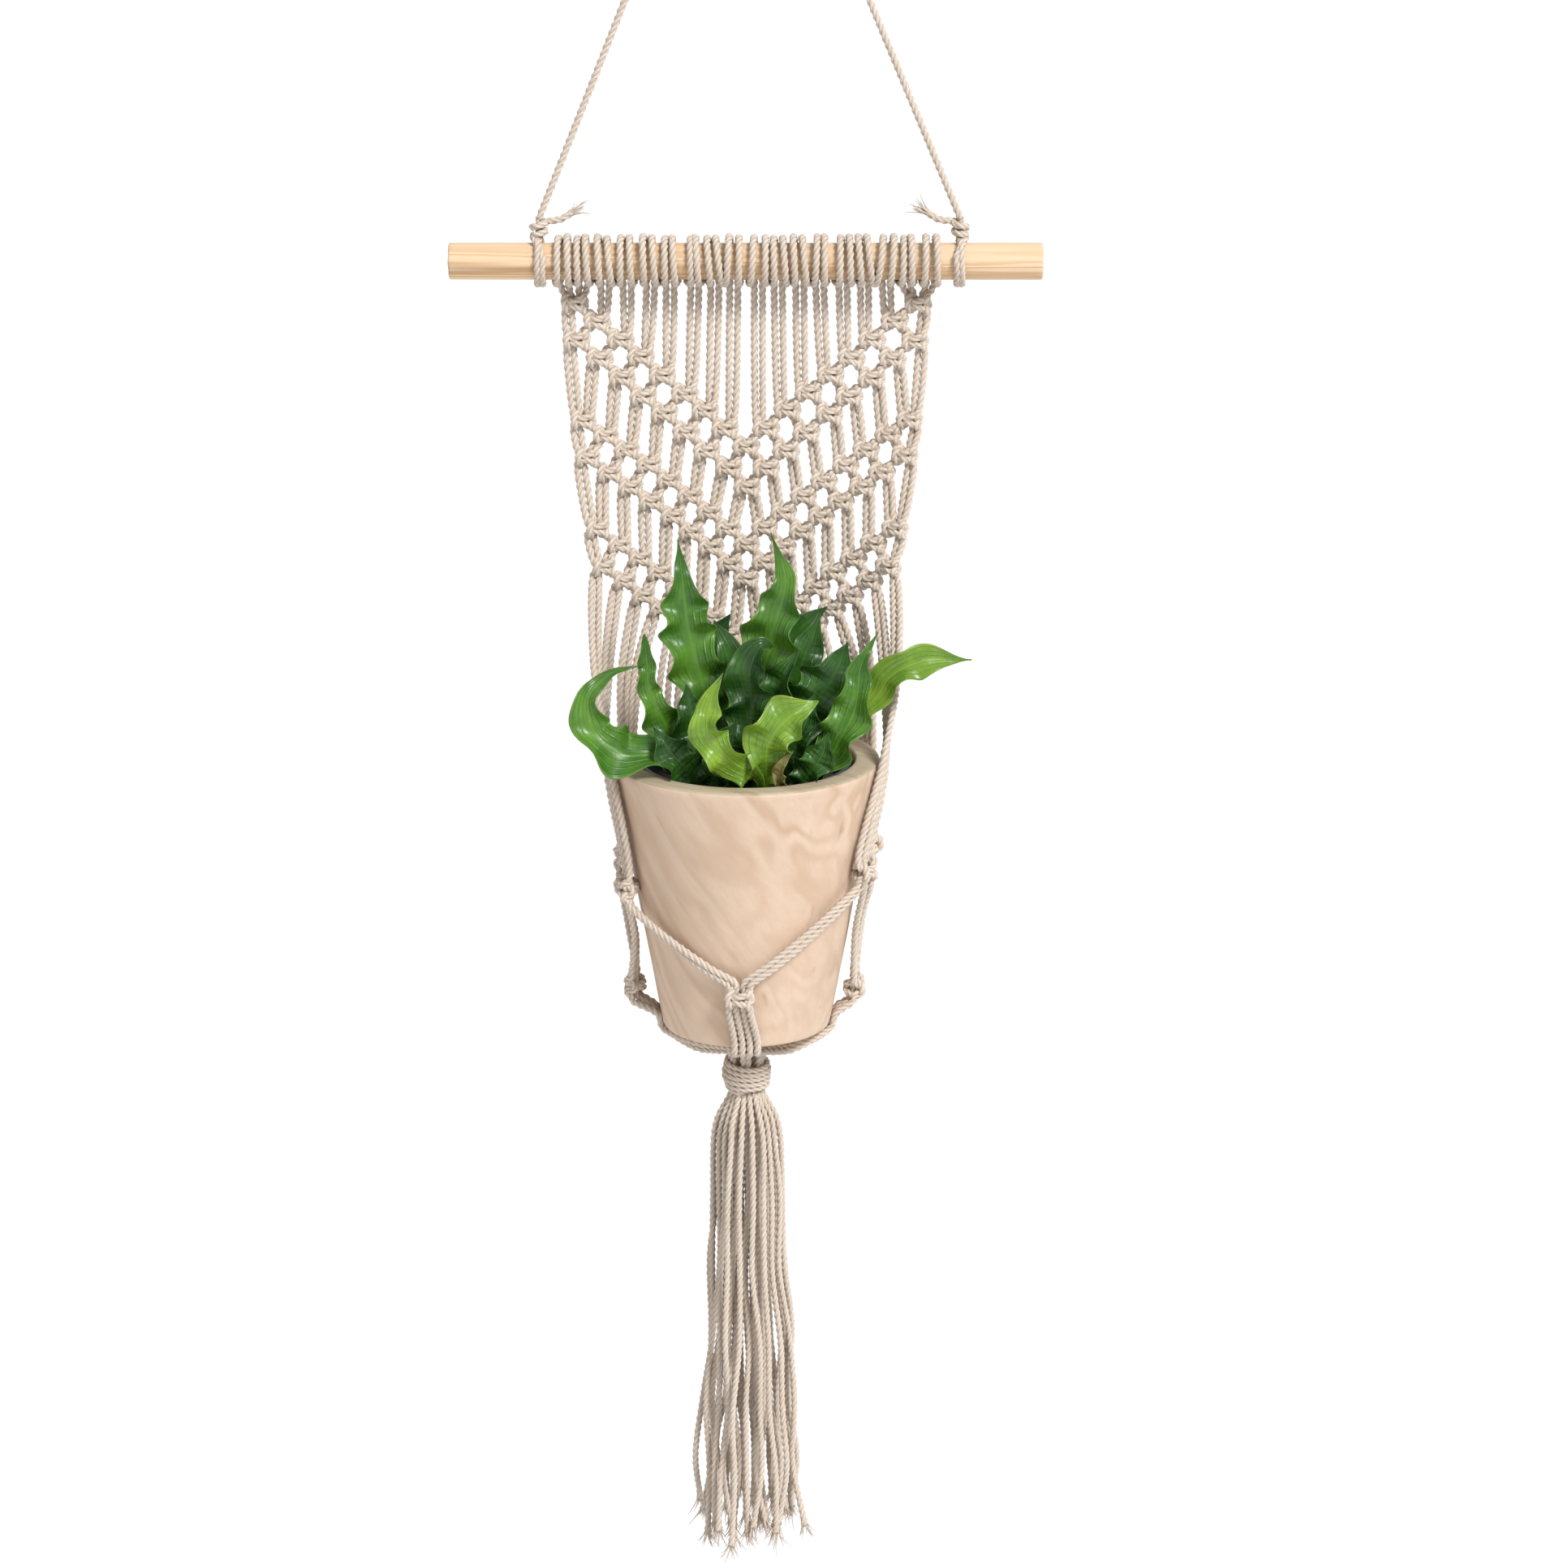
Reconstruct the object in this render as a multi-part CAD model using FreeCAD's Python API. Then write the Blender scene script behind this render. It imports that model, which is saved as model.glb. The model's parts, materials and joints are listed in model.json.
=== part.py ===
"""Hanging macrame planter: dowel, knotted cotton panel, cradle, tassel, wooden pot and fern.

Frame: +Z up, +Y into the wall, +X to the right seen from the front. The origin is
where the axis of the wall hook's screw meets the wall, so the wall is the plane y = 0.
Sizes are in millimetres.
"""
import FreeCAD
import Part

import math
import os

Vector = FreeCAD.Vector

# ---------------------------------------------------------------- driving dimensions
CLEARANCE = 0.3            # between pieces that move against each other

CORD_D = 3.4               # cotton cord, pulled tight
CORD_PITCH = 4.0           # side by side in a knot or strap
HANGING_CORD_D = 3.6       # the one loaded cord that the dowel hangs from

DOWEL_LENGTH = 304.8
DOWEL_D = 19.05
DOWEL_Y = -18.0            # axis of the dowel, in front of the wall
DOWEL_Z = -264.0           # axis of the dowel, below the hook

HOOK_WIRE_D = 4.5
HOOK_SCREW_D = 3.8
HOOK_SCREW_LENGTH = 18.0
HOOK_COLLAR_D = 12.0
HOOK_COLLAR_T = 2.5
HOOK_BEND_R = 5.0
HOOK_TIP_RISE = 8.0
HOOK_REACH = 10.0          # past the plane of the hanging cord

HITCH_LEFT_X = -106.0
HITCH_RIGHT_X = 110.0
HITCH_SIZE = 9.0           # the lump of the tied knot, over the dowel
HITCH_TAIL = 19.0

LEGS = 36                  # 18 cords, each folded in half over the dowel
LEG_SPREAD = 195.0         # between the first and last leg at the dowel
PANEL_Y = -8.0             # cords of the panel, in front of the wall
PANEL_CURL = 26.0          # how far the panel's lower corners come forward
PANEL_CURL_START = 13.0    # below the dowel's axis
PANEL_CURL_END = 163.0
KNOT_WIDTH = 15.6
KNOT_DEPTH = 9.0
KNOT_BAND_STEPS = (        # name, outermost knot below the dowel's axis, step to the next, height
    ("first_chevron_upper_knots", 23.0, 9.3, 8.6),
    ("first_chevron_lower_knots", 42.0, 9.7, 8.6),
    ("second_chevron_upper_knots", 82.5, 8.4, 8.1),
    ("second_chevron_lower_knots", 101.5, 8.4, 8.1),
    ("third_chevron_upper_knots", 139.0, 8.5, 8.1),
    ("third_chevron_lower_knots", 158.5, 8.5, 8.1),
)
PANEL_EDGE_DROP = (13.0, 85.0, 139.0, 163.0, 240.0)       # below the dowel's axis
PANEL_EDGE_SPREAD = (195.0, 187.0, 171.0, 163.0, 152.0)   # first to last leg there

POT_Y = -82.5              # axis of the pot
POT_RIM_DROP = 246.0       # rim below the dowel's axis
POT_RIM_R = 69.0
POT_FOOT_R = 44.0
POT_HEIGHT = 144.0
POT_WALL = 12.5
POT_CAVITY_DEPTH = 114.0
POT_CAVITY_TAPER = 15.0    # the cavity's radius shrinks by this much to its floor

LINER_GAP = 1.2            # nursery pot to the wooden wall
LINER_WALL = 1.2
LINER_RIM_DROP = 1.5       # below the wooden rim
LINER_LIP = 3.0            # height of the rolled rim
SOIL_DROP = 12.0           # soil below the nursery pot's rim

STRAP_KNOT_HEIGHT = 11.0
BASKET_KNOT_HEIGHT = 10.0
CRADLE_KNOT_OFF = 6.2      # knot's middle off the pot where it lies on it
CRADLE_CORD_GAP = 1.0      # cord off the pot where it lies on it
STRAP_BOW = 3.0            # a strap stands off its straight line halfway down to the rim
PAIR_LEAD = 2.0            # straight stretch of a cord below and above a knot
BACK_CORD_Y = -18.0        # the cords behind the pot hang no further forward at its rim
BACK_RIM_PITCH = 5.0

NECK_R = 12.0              # bundle of all cords under the pot
NECK_DROP = 13.0           # its top below the pot's foot
WRAP_R = 13.0
WRAP_HEIGHT = 19.5
WRAP_DROP = 19.5           # its top below the pot's foot

TASSEL_LENGTH = 258.0
TASSEL_STRAND_D = 3.3
TASSEL_PITCH = 3.6
TASSEL_SHOULDER = 26.0     # below the wrap, where the strands have spread
TASSEL_SHOULDER_FAN = 1.6
TASSEL_END_FAN = 2.75

LEAF_T = 1.5
LEAF_MOUTH_R = 55.3        # the nursery pot's radius that the leaves' points are given for

# ---------------------------------------------------------------- derived places
DOWEL_R = DOWEL_D / 2
CORD_R = CORD_D / 2
POT_RIM_Z = DOWEL_Z - POT_RIM_DROP
POT_FOOT_Z = POT_RIM_Z - POT_HEIGHT
WRAP_TOP_Z = POT_FOOT_Z - WRAP_DROP
WRAP_FOOT_Z = WRAP_TOP_Z - WRAP_HEIGHT
TASSEL_END_Z = WRAP_FOOT_Z - TASSEL_LENGTH
PAIRS = LEGS // 2
COLUMNS = PAIRS - 1
MIDDLE_COLUMN = (COLUMNS + 1) // 2


def write(name, shape):
    """Write one node to parts/NAME.step."""
    shape.exportStep(os.path.join("parts", name + ".step"))
    print("%-30s solids %3d  volume %10.1f mm3" % (name, len(shape.Solids), shape.Volume))


def group(shapes):
    """Separate solids that share one node."""
    return Part.makeCompound(shapes)


def rod(start, end, diameter):
    """A straight round piece between two points."""
    along = end - start
    return Part.makeCylinder(diameter / 2, along.Length, start, along)


def bent_rod(points, diameter):
    """Straight round runs through the points, with ball corners."""
    body = rod(points[0], points[1], diameter)
    for before, after in zip(points[1:-1], points[2:]):
        body = body.fuse([Part.makeSphere(diameter / 2, before), rod(before, after, diameter)])
    return body.removeSplitter()


def prism(outline, z_low, height):
    """A closed outline in the XY plane, raised by height."""
    corners = [Vector(x, y, z_low) for x, y in outline]
    face = Part.Face(Part.makePolygon(corners + corners[:1]))
    return face.extrude(Vector(0, 0, height))


def trimmed(cords, knots):
    """The cords cut off at the faces of the knots that they meet."""
    blocks = [block for knot in knots for block in knot.Solids]
    kept = []
    for cord in cords:
        near = [block for block in blocks if block.BoundBox.intersect(cord.BoundBox)]
        kept.append(cord.cut(near) if near else cord)
    return group(kept)


def knot_block(centre, width, height, turn=0.0):
    """The envelope of a square knot: a flat block with cut corners, turned about Z."""
    half_w = width / 2
    half_d = KNOT_DEPTH / 2
    cut = KNOT_DEPTH / 3
    outline = [
        (-half_w + cut, -half_d), (half_w - cut, -half_d), (half_w, -half_d + cut), (half_w, half_d - cut),
        (half_w - cut, half_d), (-half_w + cut, half_d), (-half_w, half_d - cut), (-half_w, -half_d + cut),
    ]
    block = prism(outline, -height / 2, height)
    block.rotate(Vector(0, 0, 0), Vector(0, 0, 1), turn)
    block.translate(centre)
    return block


def revolve(profile, centre):
    """A closed profile of (radius, z) points, turned about the vertical axis through centre."""
    corners = [Vector(r, 0, z) for r, z in profile]
    face = Part.Face(Part.makePolygon(corners + corners[:1]))
    body = face.revolve(Vector(0, 0, 0), Vector(0, 0, 1), 360)
    body.translate(centre)
    return body


def rounded_path(points):
    """Straight runs joined by tangent arcs; returns the wire, its length and the radii."""
    edges = []
    radii = []
    start = points[0]
    for before, corner, after in zip(points[:-2], points[1:-1], points[2:]):
        to_before = (before - corner).normalize()
        to_after = (after - corner).normalize()
        turn = math.pi - to_before.getAngle(to_after)
        reach = 0.45 * min((before - corner).Length, (after - corner).Length)
        radius = reach / math.tan(turn / 2)
        arc_start = corner + to_before * reach
        arc_end = corner + to_after * reach
        inward = (to_before + to_after).normalize()
        arc_middle = corner + inward * (radius / math.cos(turn / 2) - radius)
        edges.append(Part.LineSegment(start, arc_start).toShape())
        edges.append(Part.Arc(arc_start, arc_middle, arc_end).toShape())
        radii.append(radius)
        start = arc_end
    edges.append(Part.LineSegment(start, points[-1]).toShape())
    wire = Part.Wire(edges)
    return wire, wire.Length, radii


def cord_tube(name, points, diameter):
    """A cord along its route, with its radii and volume reported."""
    wire, length, radii = rounded_path(points)
    section = Part.Wire(Part.makeCircle(diameter / 2, points[0], points[1] - points[0]))
    tube = wire.makePipeShell([section], True, True)
    ideal = math.pi * diameter ** 2 / 4 * length
    shown = ", ".join("%.2f" % radius for radius in radii)
    print("%s: length %.1f mm, radii %s mm, volume ratio %.5f" % (name, length, shown, tube.Volume / ideal))
    return tube


# ---------------------------------------------------------------- wall hook and hanging cord
def wall_hook():
    """A screw hook: threaded shank, collar, straight arm and upturned tip, in one piece."""
    arm_end = DOWEL_Y - HOOK_REACH
    wire_r = HOOK_WIRE_D / 2
    out = Vector(0, -1, 0)
    screw = Part.makeCylinder(HOOK_SCREW_D / 2, HOOK_SCREW_LENGTH, Vector(0, 0, 0), Vector(0, 1, 0))
    collar = Part.makeCylinder(HOOK_COLLAR_D / 2, HOOK_COLLAR_T, Vector(0, 0, 0), out)
    arm = Part.makeCylinder(wire_r, -arm_end - HOOK_COLLAR_T, Vector(0, -HOOK_COLLAR_T, 0), out)
    bend_centre = Vector(0, arm_end, HOOK_BEND_R)
    quarter = math.sqrt(0.5) * HOOK_BEND_R
    path = Part.Wire(Part.Arc(
        Vector(0, arm_end, 0),
        Vector(0, arm_end - quarter, HOOK_BEND_R - quarter),
        Vector(0, arm_end - HOOK_BEND_R, HOOK_BEND_R)).toShape())
    bend = path.makePipeShell([Part.Wire(Part.makeCircle(wire_r, Vector(0, arm_end, 0), out))], True, True)
    tip_foot = bend_centre + Vector(0, -HOOK_BEND_R, 0)
    tip = Part.makeCylinder(wire_r, HOOK_TIP_RISE, tip_foot, Vector(0, 0, 1))
    ball = Part.makeSphere(wire_r, tip_foot + Vector(0, 0, HOOK_TIP_RISE))
    return screw.fuse([collar, arm, bend, tip, ball]).removeSplitter()


def hitch(x, inward):
    """The hanging cord tied round the dowel: a turn, the knot on top and its cut tail."""
    axis = Vector(1, 0, 0)
    inner_r = DOWEL_R + CLEARANCE
    centre = Vector(x - HANGING_CORD_D / 2, DOWEL_Y, DOWEL_Z)
    turn = Part.makeCylinder(inner_r + HANGING_CORD_D, HANGING_CORD_D, centre, axis)
    turn = turn.cut(Part.makeCylinder(inner_r, HANGING_CORD_D, centre, axis))
    lump_z = DOWEL_Z + inner_r + 0.7 * HANGING_CORD_D + HITCH_SIZE / 2
    lump = knot_block(Vector(x, DOWEL_Y, lump_z), HITCH_SIZE, HITCH_SIZE)
    tail_start = Vector(x + inward * HITCH_SIZE / 4, DOWEL_Y, lump_z + 1.0)
    tail_end = tail_start + Vector(inward * HITCH_TAIL, -1.0, HITCH_TAIL / 3)
    return turn.fuse([lump, rod(tail_start, tail_end, HANGING_CORD_D)]).removeSplitter()


def hanging_cord_route():
    """The cord's corners: left hitch, two over the hook's arm, right hitch."""
    hitch_z = DOWEL_Z + DOWEL_R + 12.0
    return [
        Vector(HITCH_LEFT_X, DOWEL_Y, hitch_z),
        Vector(-3.6, DOWEL_Y, 4.85),
        Vector(3.6, DOWEL_Y, 4.85),
        Vector(HITCH_RIGHT_X, DOWEL_Y, hitch_z),
    ]


# ---------------------------------------------------------------- the knotted panel
def spread_at(drop):
    """Distance from the first to the last leg, at a drop below the dowel's axis."""
    drops = PANEL_EDGE_DROP
    spreads = PANEL_EDGE_SPREAD
    if drop <= drops[0]:
        return spreads[0] * LEG_SPREAD / PANEL_EDGE_SPREAD[0]
    for low, high, at_low, at_high in zip(drops, drops[1:], spreads, spreads[1:]):
        if drop <= high:
            share = (drop - low) / (high - low)
            return (at_low + share * (at_high - at_low)) * LEG_SPREAD / PANEL_EDGE_SPREAD[0]
    return spreads[-1] * LEG_SPREAD / PANEL_EDGE_SPREAD[0]


def panel_y(x, drop):
    """The panel's depth: flat in the middle, its lower corners curling forward."""
    share = max(0.0, (drop - PANEL_CURL_START) / (PANEL_CURL_END - PANEL_CURL_START))
    side = min(1.0, abs(x) / (spread_at(drop) / 2))
    return PANEL_Y - PANEL_CURL * min(share, 1.15) ** 1.5 * side ** 3


def knot_centre(column, band):
    """Centre of the square knot in a column (1 to 17) of one of the six rows."""
    _, first_drop, step, _ = KNOT_BAND_STEPS[band]
    depth_in_row = MIDDLE_COLUMN - 1 - abs(column - MIDDLE_COLUMN)
    drop = first_drop + step * depth_in_row
    pair_pitch = spread_at(drop) / (LEGS - 1) * 2
    x = (column - MIDDLE_COLUMN) * pair_pitch
    return Vector(x, panel_y(x, drop), DOWEL_Z - drop)


def knot_leg(column, band, leg, end):
    """Where a leg (1 to 4, from the left) enters (end +1) or leaves (end -1) a knot."""
    centre = knot_centre(column, band)
    height = KNOT_BAND_STEPS[band][3]
    across = (leg - 2.5) * CORD_PITCH
    return centre + Vector(across, 0, end * height / 2)


def leg_knot(pair, side, upper):
    """The first (upper) or last knot of a row that a pair's leg passes: (column, leg)."""
    left_half = pair <= MIDDLE_COLUMN
    take_own = left_half != upper
    column = pair if take_own else pair - 1
    if column < 1:
        column = 1
    if column > COLUMNS:
        column = COLUMNS
    leg = side + 1 if column == pair else side + 3
    return column, leg


def knot_row(band):
    """The 17 square knots of one row."""
    height = KNOT_BAND_STEPS[band][3]
    columns = range(1, COLUMNS + 1)
    return group([knot_block(knot_centre(column, band), KNOT_WIDTH, height) for column in columns])


def top_point(leg_index):
    """Where a leg leaves the dowel."""
    x = (leg_index - (LEGS - 1) / 2) * LEG_SPREAD / (LEGS - 1)
    return Vector(x, PANEL_Y, DOWEL_Z - DOWEL_R - 2.0)


def drop_cords(band_above):
    """Straight legs from one chevron (or the dowel, None) down to the next chevron."""
    cords = []
    for index in range(LEGS):
        pair = index // 2 + 1
        side = index % 2
        if band_above is None:
            start = top_point(index)
            band_below = 0
        else:
            column, leg = leg_knot(pair, side, False)
            start = knot_leg(column, band_above, leg, -1)
            band_below = band_above + 1
        column, leg = leg_knot(pair, side, True)
        end = knot_leg(column, band_below, leg, 1)
        cords.append(rod(start, end, CORD_D))
    ends = [knot_row(band_below)]
    if band_above is not None:
        ends.append(knot_row(band_above))
    return trimmed(cords, ends)


def larks_heads():
    """18 cow hitches: two turns round the dowel each, joined by the bight at the back."""
    heads = []
    pitch = LEG_SPREAD / (LEGS - 1)
    turn_r = DOWEL_R + CORD_R + 0.1
    for pair in range(PAIRS):
        left = Vector(top_point(2 * pair).x, DOWEL_Y, DOWEL_Z)
        places = [left, left + Vector(pitch, 0, 0)]
        rings = [Part.makeTorus(turn_r, CORD_R, place, Vector(1, 0, 0)) for place in places]
        bar_at = left + Vector(0, turn_r * math.cos(math.radians(25)), -turn_r * math.sin(math.radians(25)))
        heads.append(rings[0].fuse([rings[1], rod(bar_at, bar_at + Vector(pitch, 0, 0), 0.86 * CORD_D)]))
    return group(heads)


# ---------------------------------------------------------------- the cradle round the pot
def pot_radius(z):
    """Outer radius of the wooden pot at a height."""
    share = (POT_RIM_Z - z) / POT_HEIGHT
    return POT_RIM_R + (POT_FOOT_R - POT_RIM_R) * min(max(share, 0.0), 1.0)


def around_pot(angle, z, off):
    """A point beside the pot: angle from the front towards +X, off the surface by off."""
    turn = math.radians(angle)
    reach = pot_radius(z) + off
    return Vector(reach * math.sin(turn), POT_Y - reach * math.cos(turn), z)


class Knot:
    """A cradle knot: its place, the turn of its flat side, and where its cords meet it."""

    def __init__(self, angle, drop, off, height):
        self.turn = angle
        self.height = height
        self.centre = around_pot(angle, DOWEL_Z - drop, off)

    def solid(self):
        """The knot's block."""
        return knot_block(self.centre, KNOT_WIDTH, self.height, self.turn)

    def port(self, leg, end):
        """Centre of cord 1 to 4 on the top (end +1) or bottom (end -1) face; 1 has the largest angle."""
        turn = math.radians(self.turn)
        across = (2.5 - leg) * CORD_PITCH
        return self.centre + Vector(across * math.cos(turn), across * math.sin(turn), end * self.height / 2)


FRONT_LEFT = Knot(-70.0, 310.0, CRADLE_KNOT_OFF, STRAP_KNOT_HEIGHT)
FRONT_RIGHT = Knot(66.0, 299.0, CRADLE_KNOT_OFF, STRAP_KNOT_HEIGHT)
BACK_LEFT = Knot(-125.0, 314.0, 20.0, STRAP_KNOT_HEIGHT)
BACK_RIGHT = Knot(125.0, 306.0, 19.0, STRAP_KNOT_HEIGHT)
FRONT = Knot(-3.0, 358.0, CRADLE_KNOT_OFF, BASKET_KNOT_HEIGHT)
LEFT = Knot(-92.0, 371.0, 11.0, BASKET_KNOT_HEIGHT)
RIGHT = Knot(92.0, 372.0, 9.0, BASKET_KNOT_HEIGHT)
BACK = Knot(180.0, 352.0, 13.5, BASKET_KNOT_HEIGHT)

LOWEST_BAND = 5            # the straps and the cords behind the pot start at this row


def hanging_leg(index):
    """Where a leg (0 to 35, from the left) leaves the panel's lowest knots."""
    column, leg = leg_knot(index // 2 + 1, index % 2, False)
    return knot_leg(column, LOWEST_BAND, leg, -1)


def strap(first_leg, knot, rim_angle, rim_off):
    """Four cords from the panel's lowest knots, past the pot's rim, to a cradle knot."""
    rim = around_pot(rim_angle, POT_RIM_Z, rim_off)
    turn = math.radians(rim_angle)
    outward = Vector(math.sin(turn), -math.cos(turn), 0)
    along = (knot.centre - (hanging_leg(first_leg) + hanging_leg(first_leg + 3)) / 2).normalize()
    across = outward.cross(along).normalize()
    if across.dot(Vector(math.cos(turn), math.sin(turn), 0)) < 0:
        across = -across
    halfway = ((hanging_leg(first_leg + 1) + hanging_leg(first_leg + 2)) / 2 + rim) / 2 + outward * STRAP_BOW
    halfway_across = (across - Vector(1, 0, 0)).normalize()
    cords = []
    for leg in range(1, 5):
        place = (2.5 - leg) * CORD_PITCH
        route = [hanging_leg(first_leg + leg - 1), halfway + halfway_across * place]
        route += [rim + across * place, knot.port(leg, 1)]
        cords.append(bent_rod(route, CORD_D))
    return trimmed(cords, [knot_row(LOWEST_BAND), knot.solid()])


def pot_angle(point):
    """Angle of a point round the pot, from the front towards +X, in degrees."""
    return math.degrees(math.atan2(point.x, POT_Y - point.y))


def pair_of_cords(upper, upper_legs, lower, lower_legs, corners):
    """Two cords from an upper knot to a lower one, bent round the pot at a number of corners."""
    sweep = (pot_angle(lower.centre) - pot_angle(upper.centre) + 180.0) % 360.0 - 180.0
    stagger = min(2.4, abs(sweep) / 25.0)
    cords = []
    for order in (0, 1):
        start = upper.port(upper_legs[order], -1)
        end = lower.port(lower_legs[order], 1)
        trails = (order == 1) == (sweep > 0)
        high = start - Vector(0, 0, PAIR_LEAD + (stagger if trails else 0))
        low = end + Vector(0, 0, PAIR_LEAD + (0 if trails else stagger))
        high_angle = pot_angle(high)
        turn = (pot_angle(low) - high_angle + 180.0) % 360.0 - 180.0
        high_off = math.hypot(high.x, high.y - POT_Y) - pot_radius(high.z)
        low_off = math.hypot(low.x, low.y - POT_Y) - pot_radius(low.z)
        route = [start, high]
        for corner in range(1, corners + 1):
            share = corner / (corners + 1)
            z = high.z + share * (low.z - high.z)
            slack = (1 - share) * high_off + share * low_off
            off = max(CORD_R + CRADLE_CORD_GAP, slack - 3.0 * math.sin(math.pi * share))
            route.append(around_pot(high_angle + share * turn, z, off))
        route += [low, end]
        cords.append(bent_rod(route, CORD_D))
    return trimmed(cords, [upper.solid(), lower.solid()])


def base_cords(knot, angle):
    """Four cords from a low knot, round the pot's foot and in to the neck."""
    turn = math.radians(angle)
    outward = Vector(math.sin(turn), -math.cos(turn), 0)
    foot = Vector(0, POT_Y, POT_FOOT_Z - CORD_R - 0.9)
    neck = Vector(0, POT_Y, POT_FOOT_Z - NECK_DROP - 2.2)
    cords = []
    for leg in range(1, 5):
        across = (2.5 - leg) * (CORD_D + 0.1)
        sideways = Vector(across * math.cos(turn), across * math.sin(turn), 0)
        corner = foot + outward * (POT_FOOT_R + CORD_R + 0.2) + sideways
        end = neck + outward * (NECK_R - 2.0) + sideways
        cords.append(bent_rod([knot.port(leg, -1), corner, end], CORD_D))
    return trimmed(cords, [knot.solid(), neck_solid()])


def neck_solid():
    """All the cords drawn together over the wrap."""
    top = POT_FOOT_Z - NECK_DROP
    foot = WRAP_TOP_Z + 0.4
    profile = [(0, top), (NECK_R, top), (NECK_R, foot + 3.0), (1.0, foot), (0, foot)]
    return revolve(profile, Vector(0, POT_Y, 0))


def back_drop_cords():
    """The middle 20 legs, from the lowest knots down behind the pot to its foot."""
    first = (LEGS - 20) // 2
    cords = []
    for index in range(first, LEGS - first):
        place = index - (LEGS - 1) / 2
        rim_x = place * BACK_RIM_PITCH
        rim_reach = POT_RIM_R + CORD_D
        rim_y = max(POT_Y + math.sqrt(rim_reach ** 2 - rim_x ** 2), BACK_CORD_Y)
        foot_x = place * (CORD_D + 0.1)
        foot_reach = POT_FOOT_R + CORD_R + 1.2
        foot_y = POT_Y + math.sqrt(foot_reach ** 2 - foot_x ** 2)
        rim = Vector(rim_x, rim_y, POT_RIM_Z + 6.0)
        foot = Vector(foot_x, foot_y, POT_FOOT_Z + 2.0)
        cords.append(bent_rod([hanging_leg(index), rim, foot], CORD_D))
    return trimmed(cords, [knot_row(LOWEST_BAND)])


def back_base_band():
    """The back cords laid flat under the pot, from its foot in to the neck."""
    half_wide = 38.0
    half_narrow = NECK_R * 0.6
    top = POT_FOOT_Z - 1.2
    outer_y = POT_Y + math.sqrt((POT_FOOT_R + 3.0) ** 2 - half_wide ** 2)
    inner_y = POT_Y + NECK_R * 0.78
    inner_top = POT_FOOT_Z - NECK_DROP - 0.6

    def section(half_width, y, z_top):
        """A flat rectangle across the band."""
        low = z_top - CORD_D
        corners = [Vector(-half_width, y, low), Vector(half_width, y, low),
                   Vector(half_width, y, z_top), Vector(-half_width, y, z_top)]
        return Part.makePolygon(corners + corners[:1])

    ends = [section(half_wide, outer_y, top), section(half_narrow, inner_y, inner_top)]
    band = Part.makeLoft(ends, True, True)
    return band.cut(neck_solid())


# ---------------------------------------------------------------- wrap and tassel
def gathering_wrap():
    """The wound cord that ties the bundle: a drum with eased ends, free to tip."""
    height = WRAP_HEIGHT
    ease = 3.0
    profile = [(0, -height), (3.0, -height), (WRAP_R, -height + 1.2), (WRAP_R, -ease), (1.0, 0), (0, 0)]
    return revolve(profile, Vector(0, POT_Y, WRAP_TOP_Z))


def tassel_places():
    """Centres of 36 strands on a hexagonal grid, as (x, y) from the tassel's axis."""
    places = []
    row_pitch = TASSEL_PITCH * math.sqrt(0.75)
    for row in range(-4, 5):
        for column in range(-4, 5):
            x = (column + 0.5 * (row % 2)) * TASSEL_PITCH
            y = row * row_pitch + 0.15 * TASSEL_PITCH
            places.append((x, y))
    places.sort(key=lambda place: (round(math.hypot(place[0], place[1]), 3), place))
    return places[:LEGS]


def tassel_strands(places):
    """Strands that start under the wrap, spread at the shoulder and hang to their ends."""
    strands = []
    for x, y in places:
        reach = math.hypot(x, y)
        top = Vector(x, POT_Y + y, WRAP_FOOT_Z - 0.5 - 0.3 * reach)
        shoulder_z = WRAP_FOOT_Z - TASSEL_SHOULDER
        shoulder = Vector(x * TASSEL_SHOULDER_FAN, POT_Y + y * TASSEL_SHOULDER_FAN, shoulder_z)
        end = Vector(x * TASSEL_END_FAN, POT_Y + y * TASSEL_END_FAN, TASSEL_END_Z + 0.6 * reach)
        strands.append(bent_rod([top, shoulder, end], TASSEL_STRAND_D))
    return group(strands)


# ---------------------------------------------------------------- pots, soil and fern
def wooden_pot():
    """Turned wooden pot with a tapered cavity."""
    mouth_r = POT_RIM_R - POT_WALL
    floor_r = mouth_r - POT_CAVITY_TAPER
    profile = [
        (0, -POT_HEIGHT), (POT_FOOT_R - 1.0, -POT_HEIGHT), (POT_FOOT_R, -POT_HEIGHT + 1.0),
        (POT_RIM_R, -1.5), (POT_RIM_R - 1.5, 0), (mouth_r + 1.0, 0), (mouth_r, -1.0),
        (floor_r, -POT_CAVITY_DEPTH), (0, -POT_CAVITY_DEPTH),
    ]
    return revolve(profile, Vector(0, POT_Y, POT_RIM_Z))


def liner_outer_radius(drop):
    """Outer radius of the nursery pot at a drop below the wooden rim."""
    mouth_r = POT_RIM_R - POT_WALL
    return mouth_r - POT_CAVITY_TAPER * drop / POT_CAVITY_DEPTH - LINER_GAP


def nursery_pot():
    """Thin plastic pot with a thicker rolled rim."""
    top = LINER_RIM_DROP
    foot = POT_CAVITY_DEPTH - CLEARANCE
    rim_r = liner_outer_radius(top + LINER_LIP)
    body_r = liner_outer_radius(top + LINER_LIP) - LINER_WALL * 0.6
    foot_r = liner_outer_radius(foot) - LINER_WALL * 0.6
    profile = [
        (0, -foot), (foot_r, -foot), (body_r, -top - LINER_LIP), (rim_r, -top - LINER_LIP), (rim_r, -top),
        (body_r - LINER_WALL, -top), (foot_r - LINER_WALL, -foot + LINER_WALL), (0, -foot + LINER_WALL),
    ]
    return revolve(profile, Vector(0, POT_Y, POT_RIM_Z))


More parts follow.
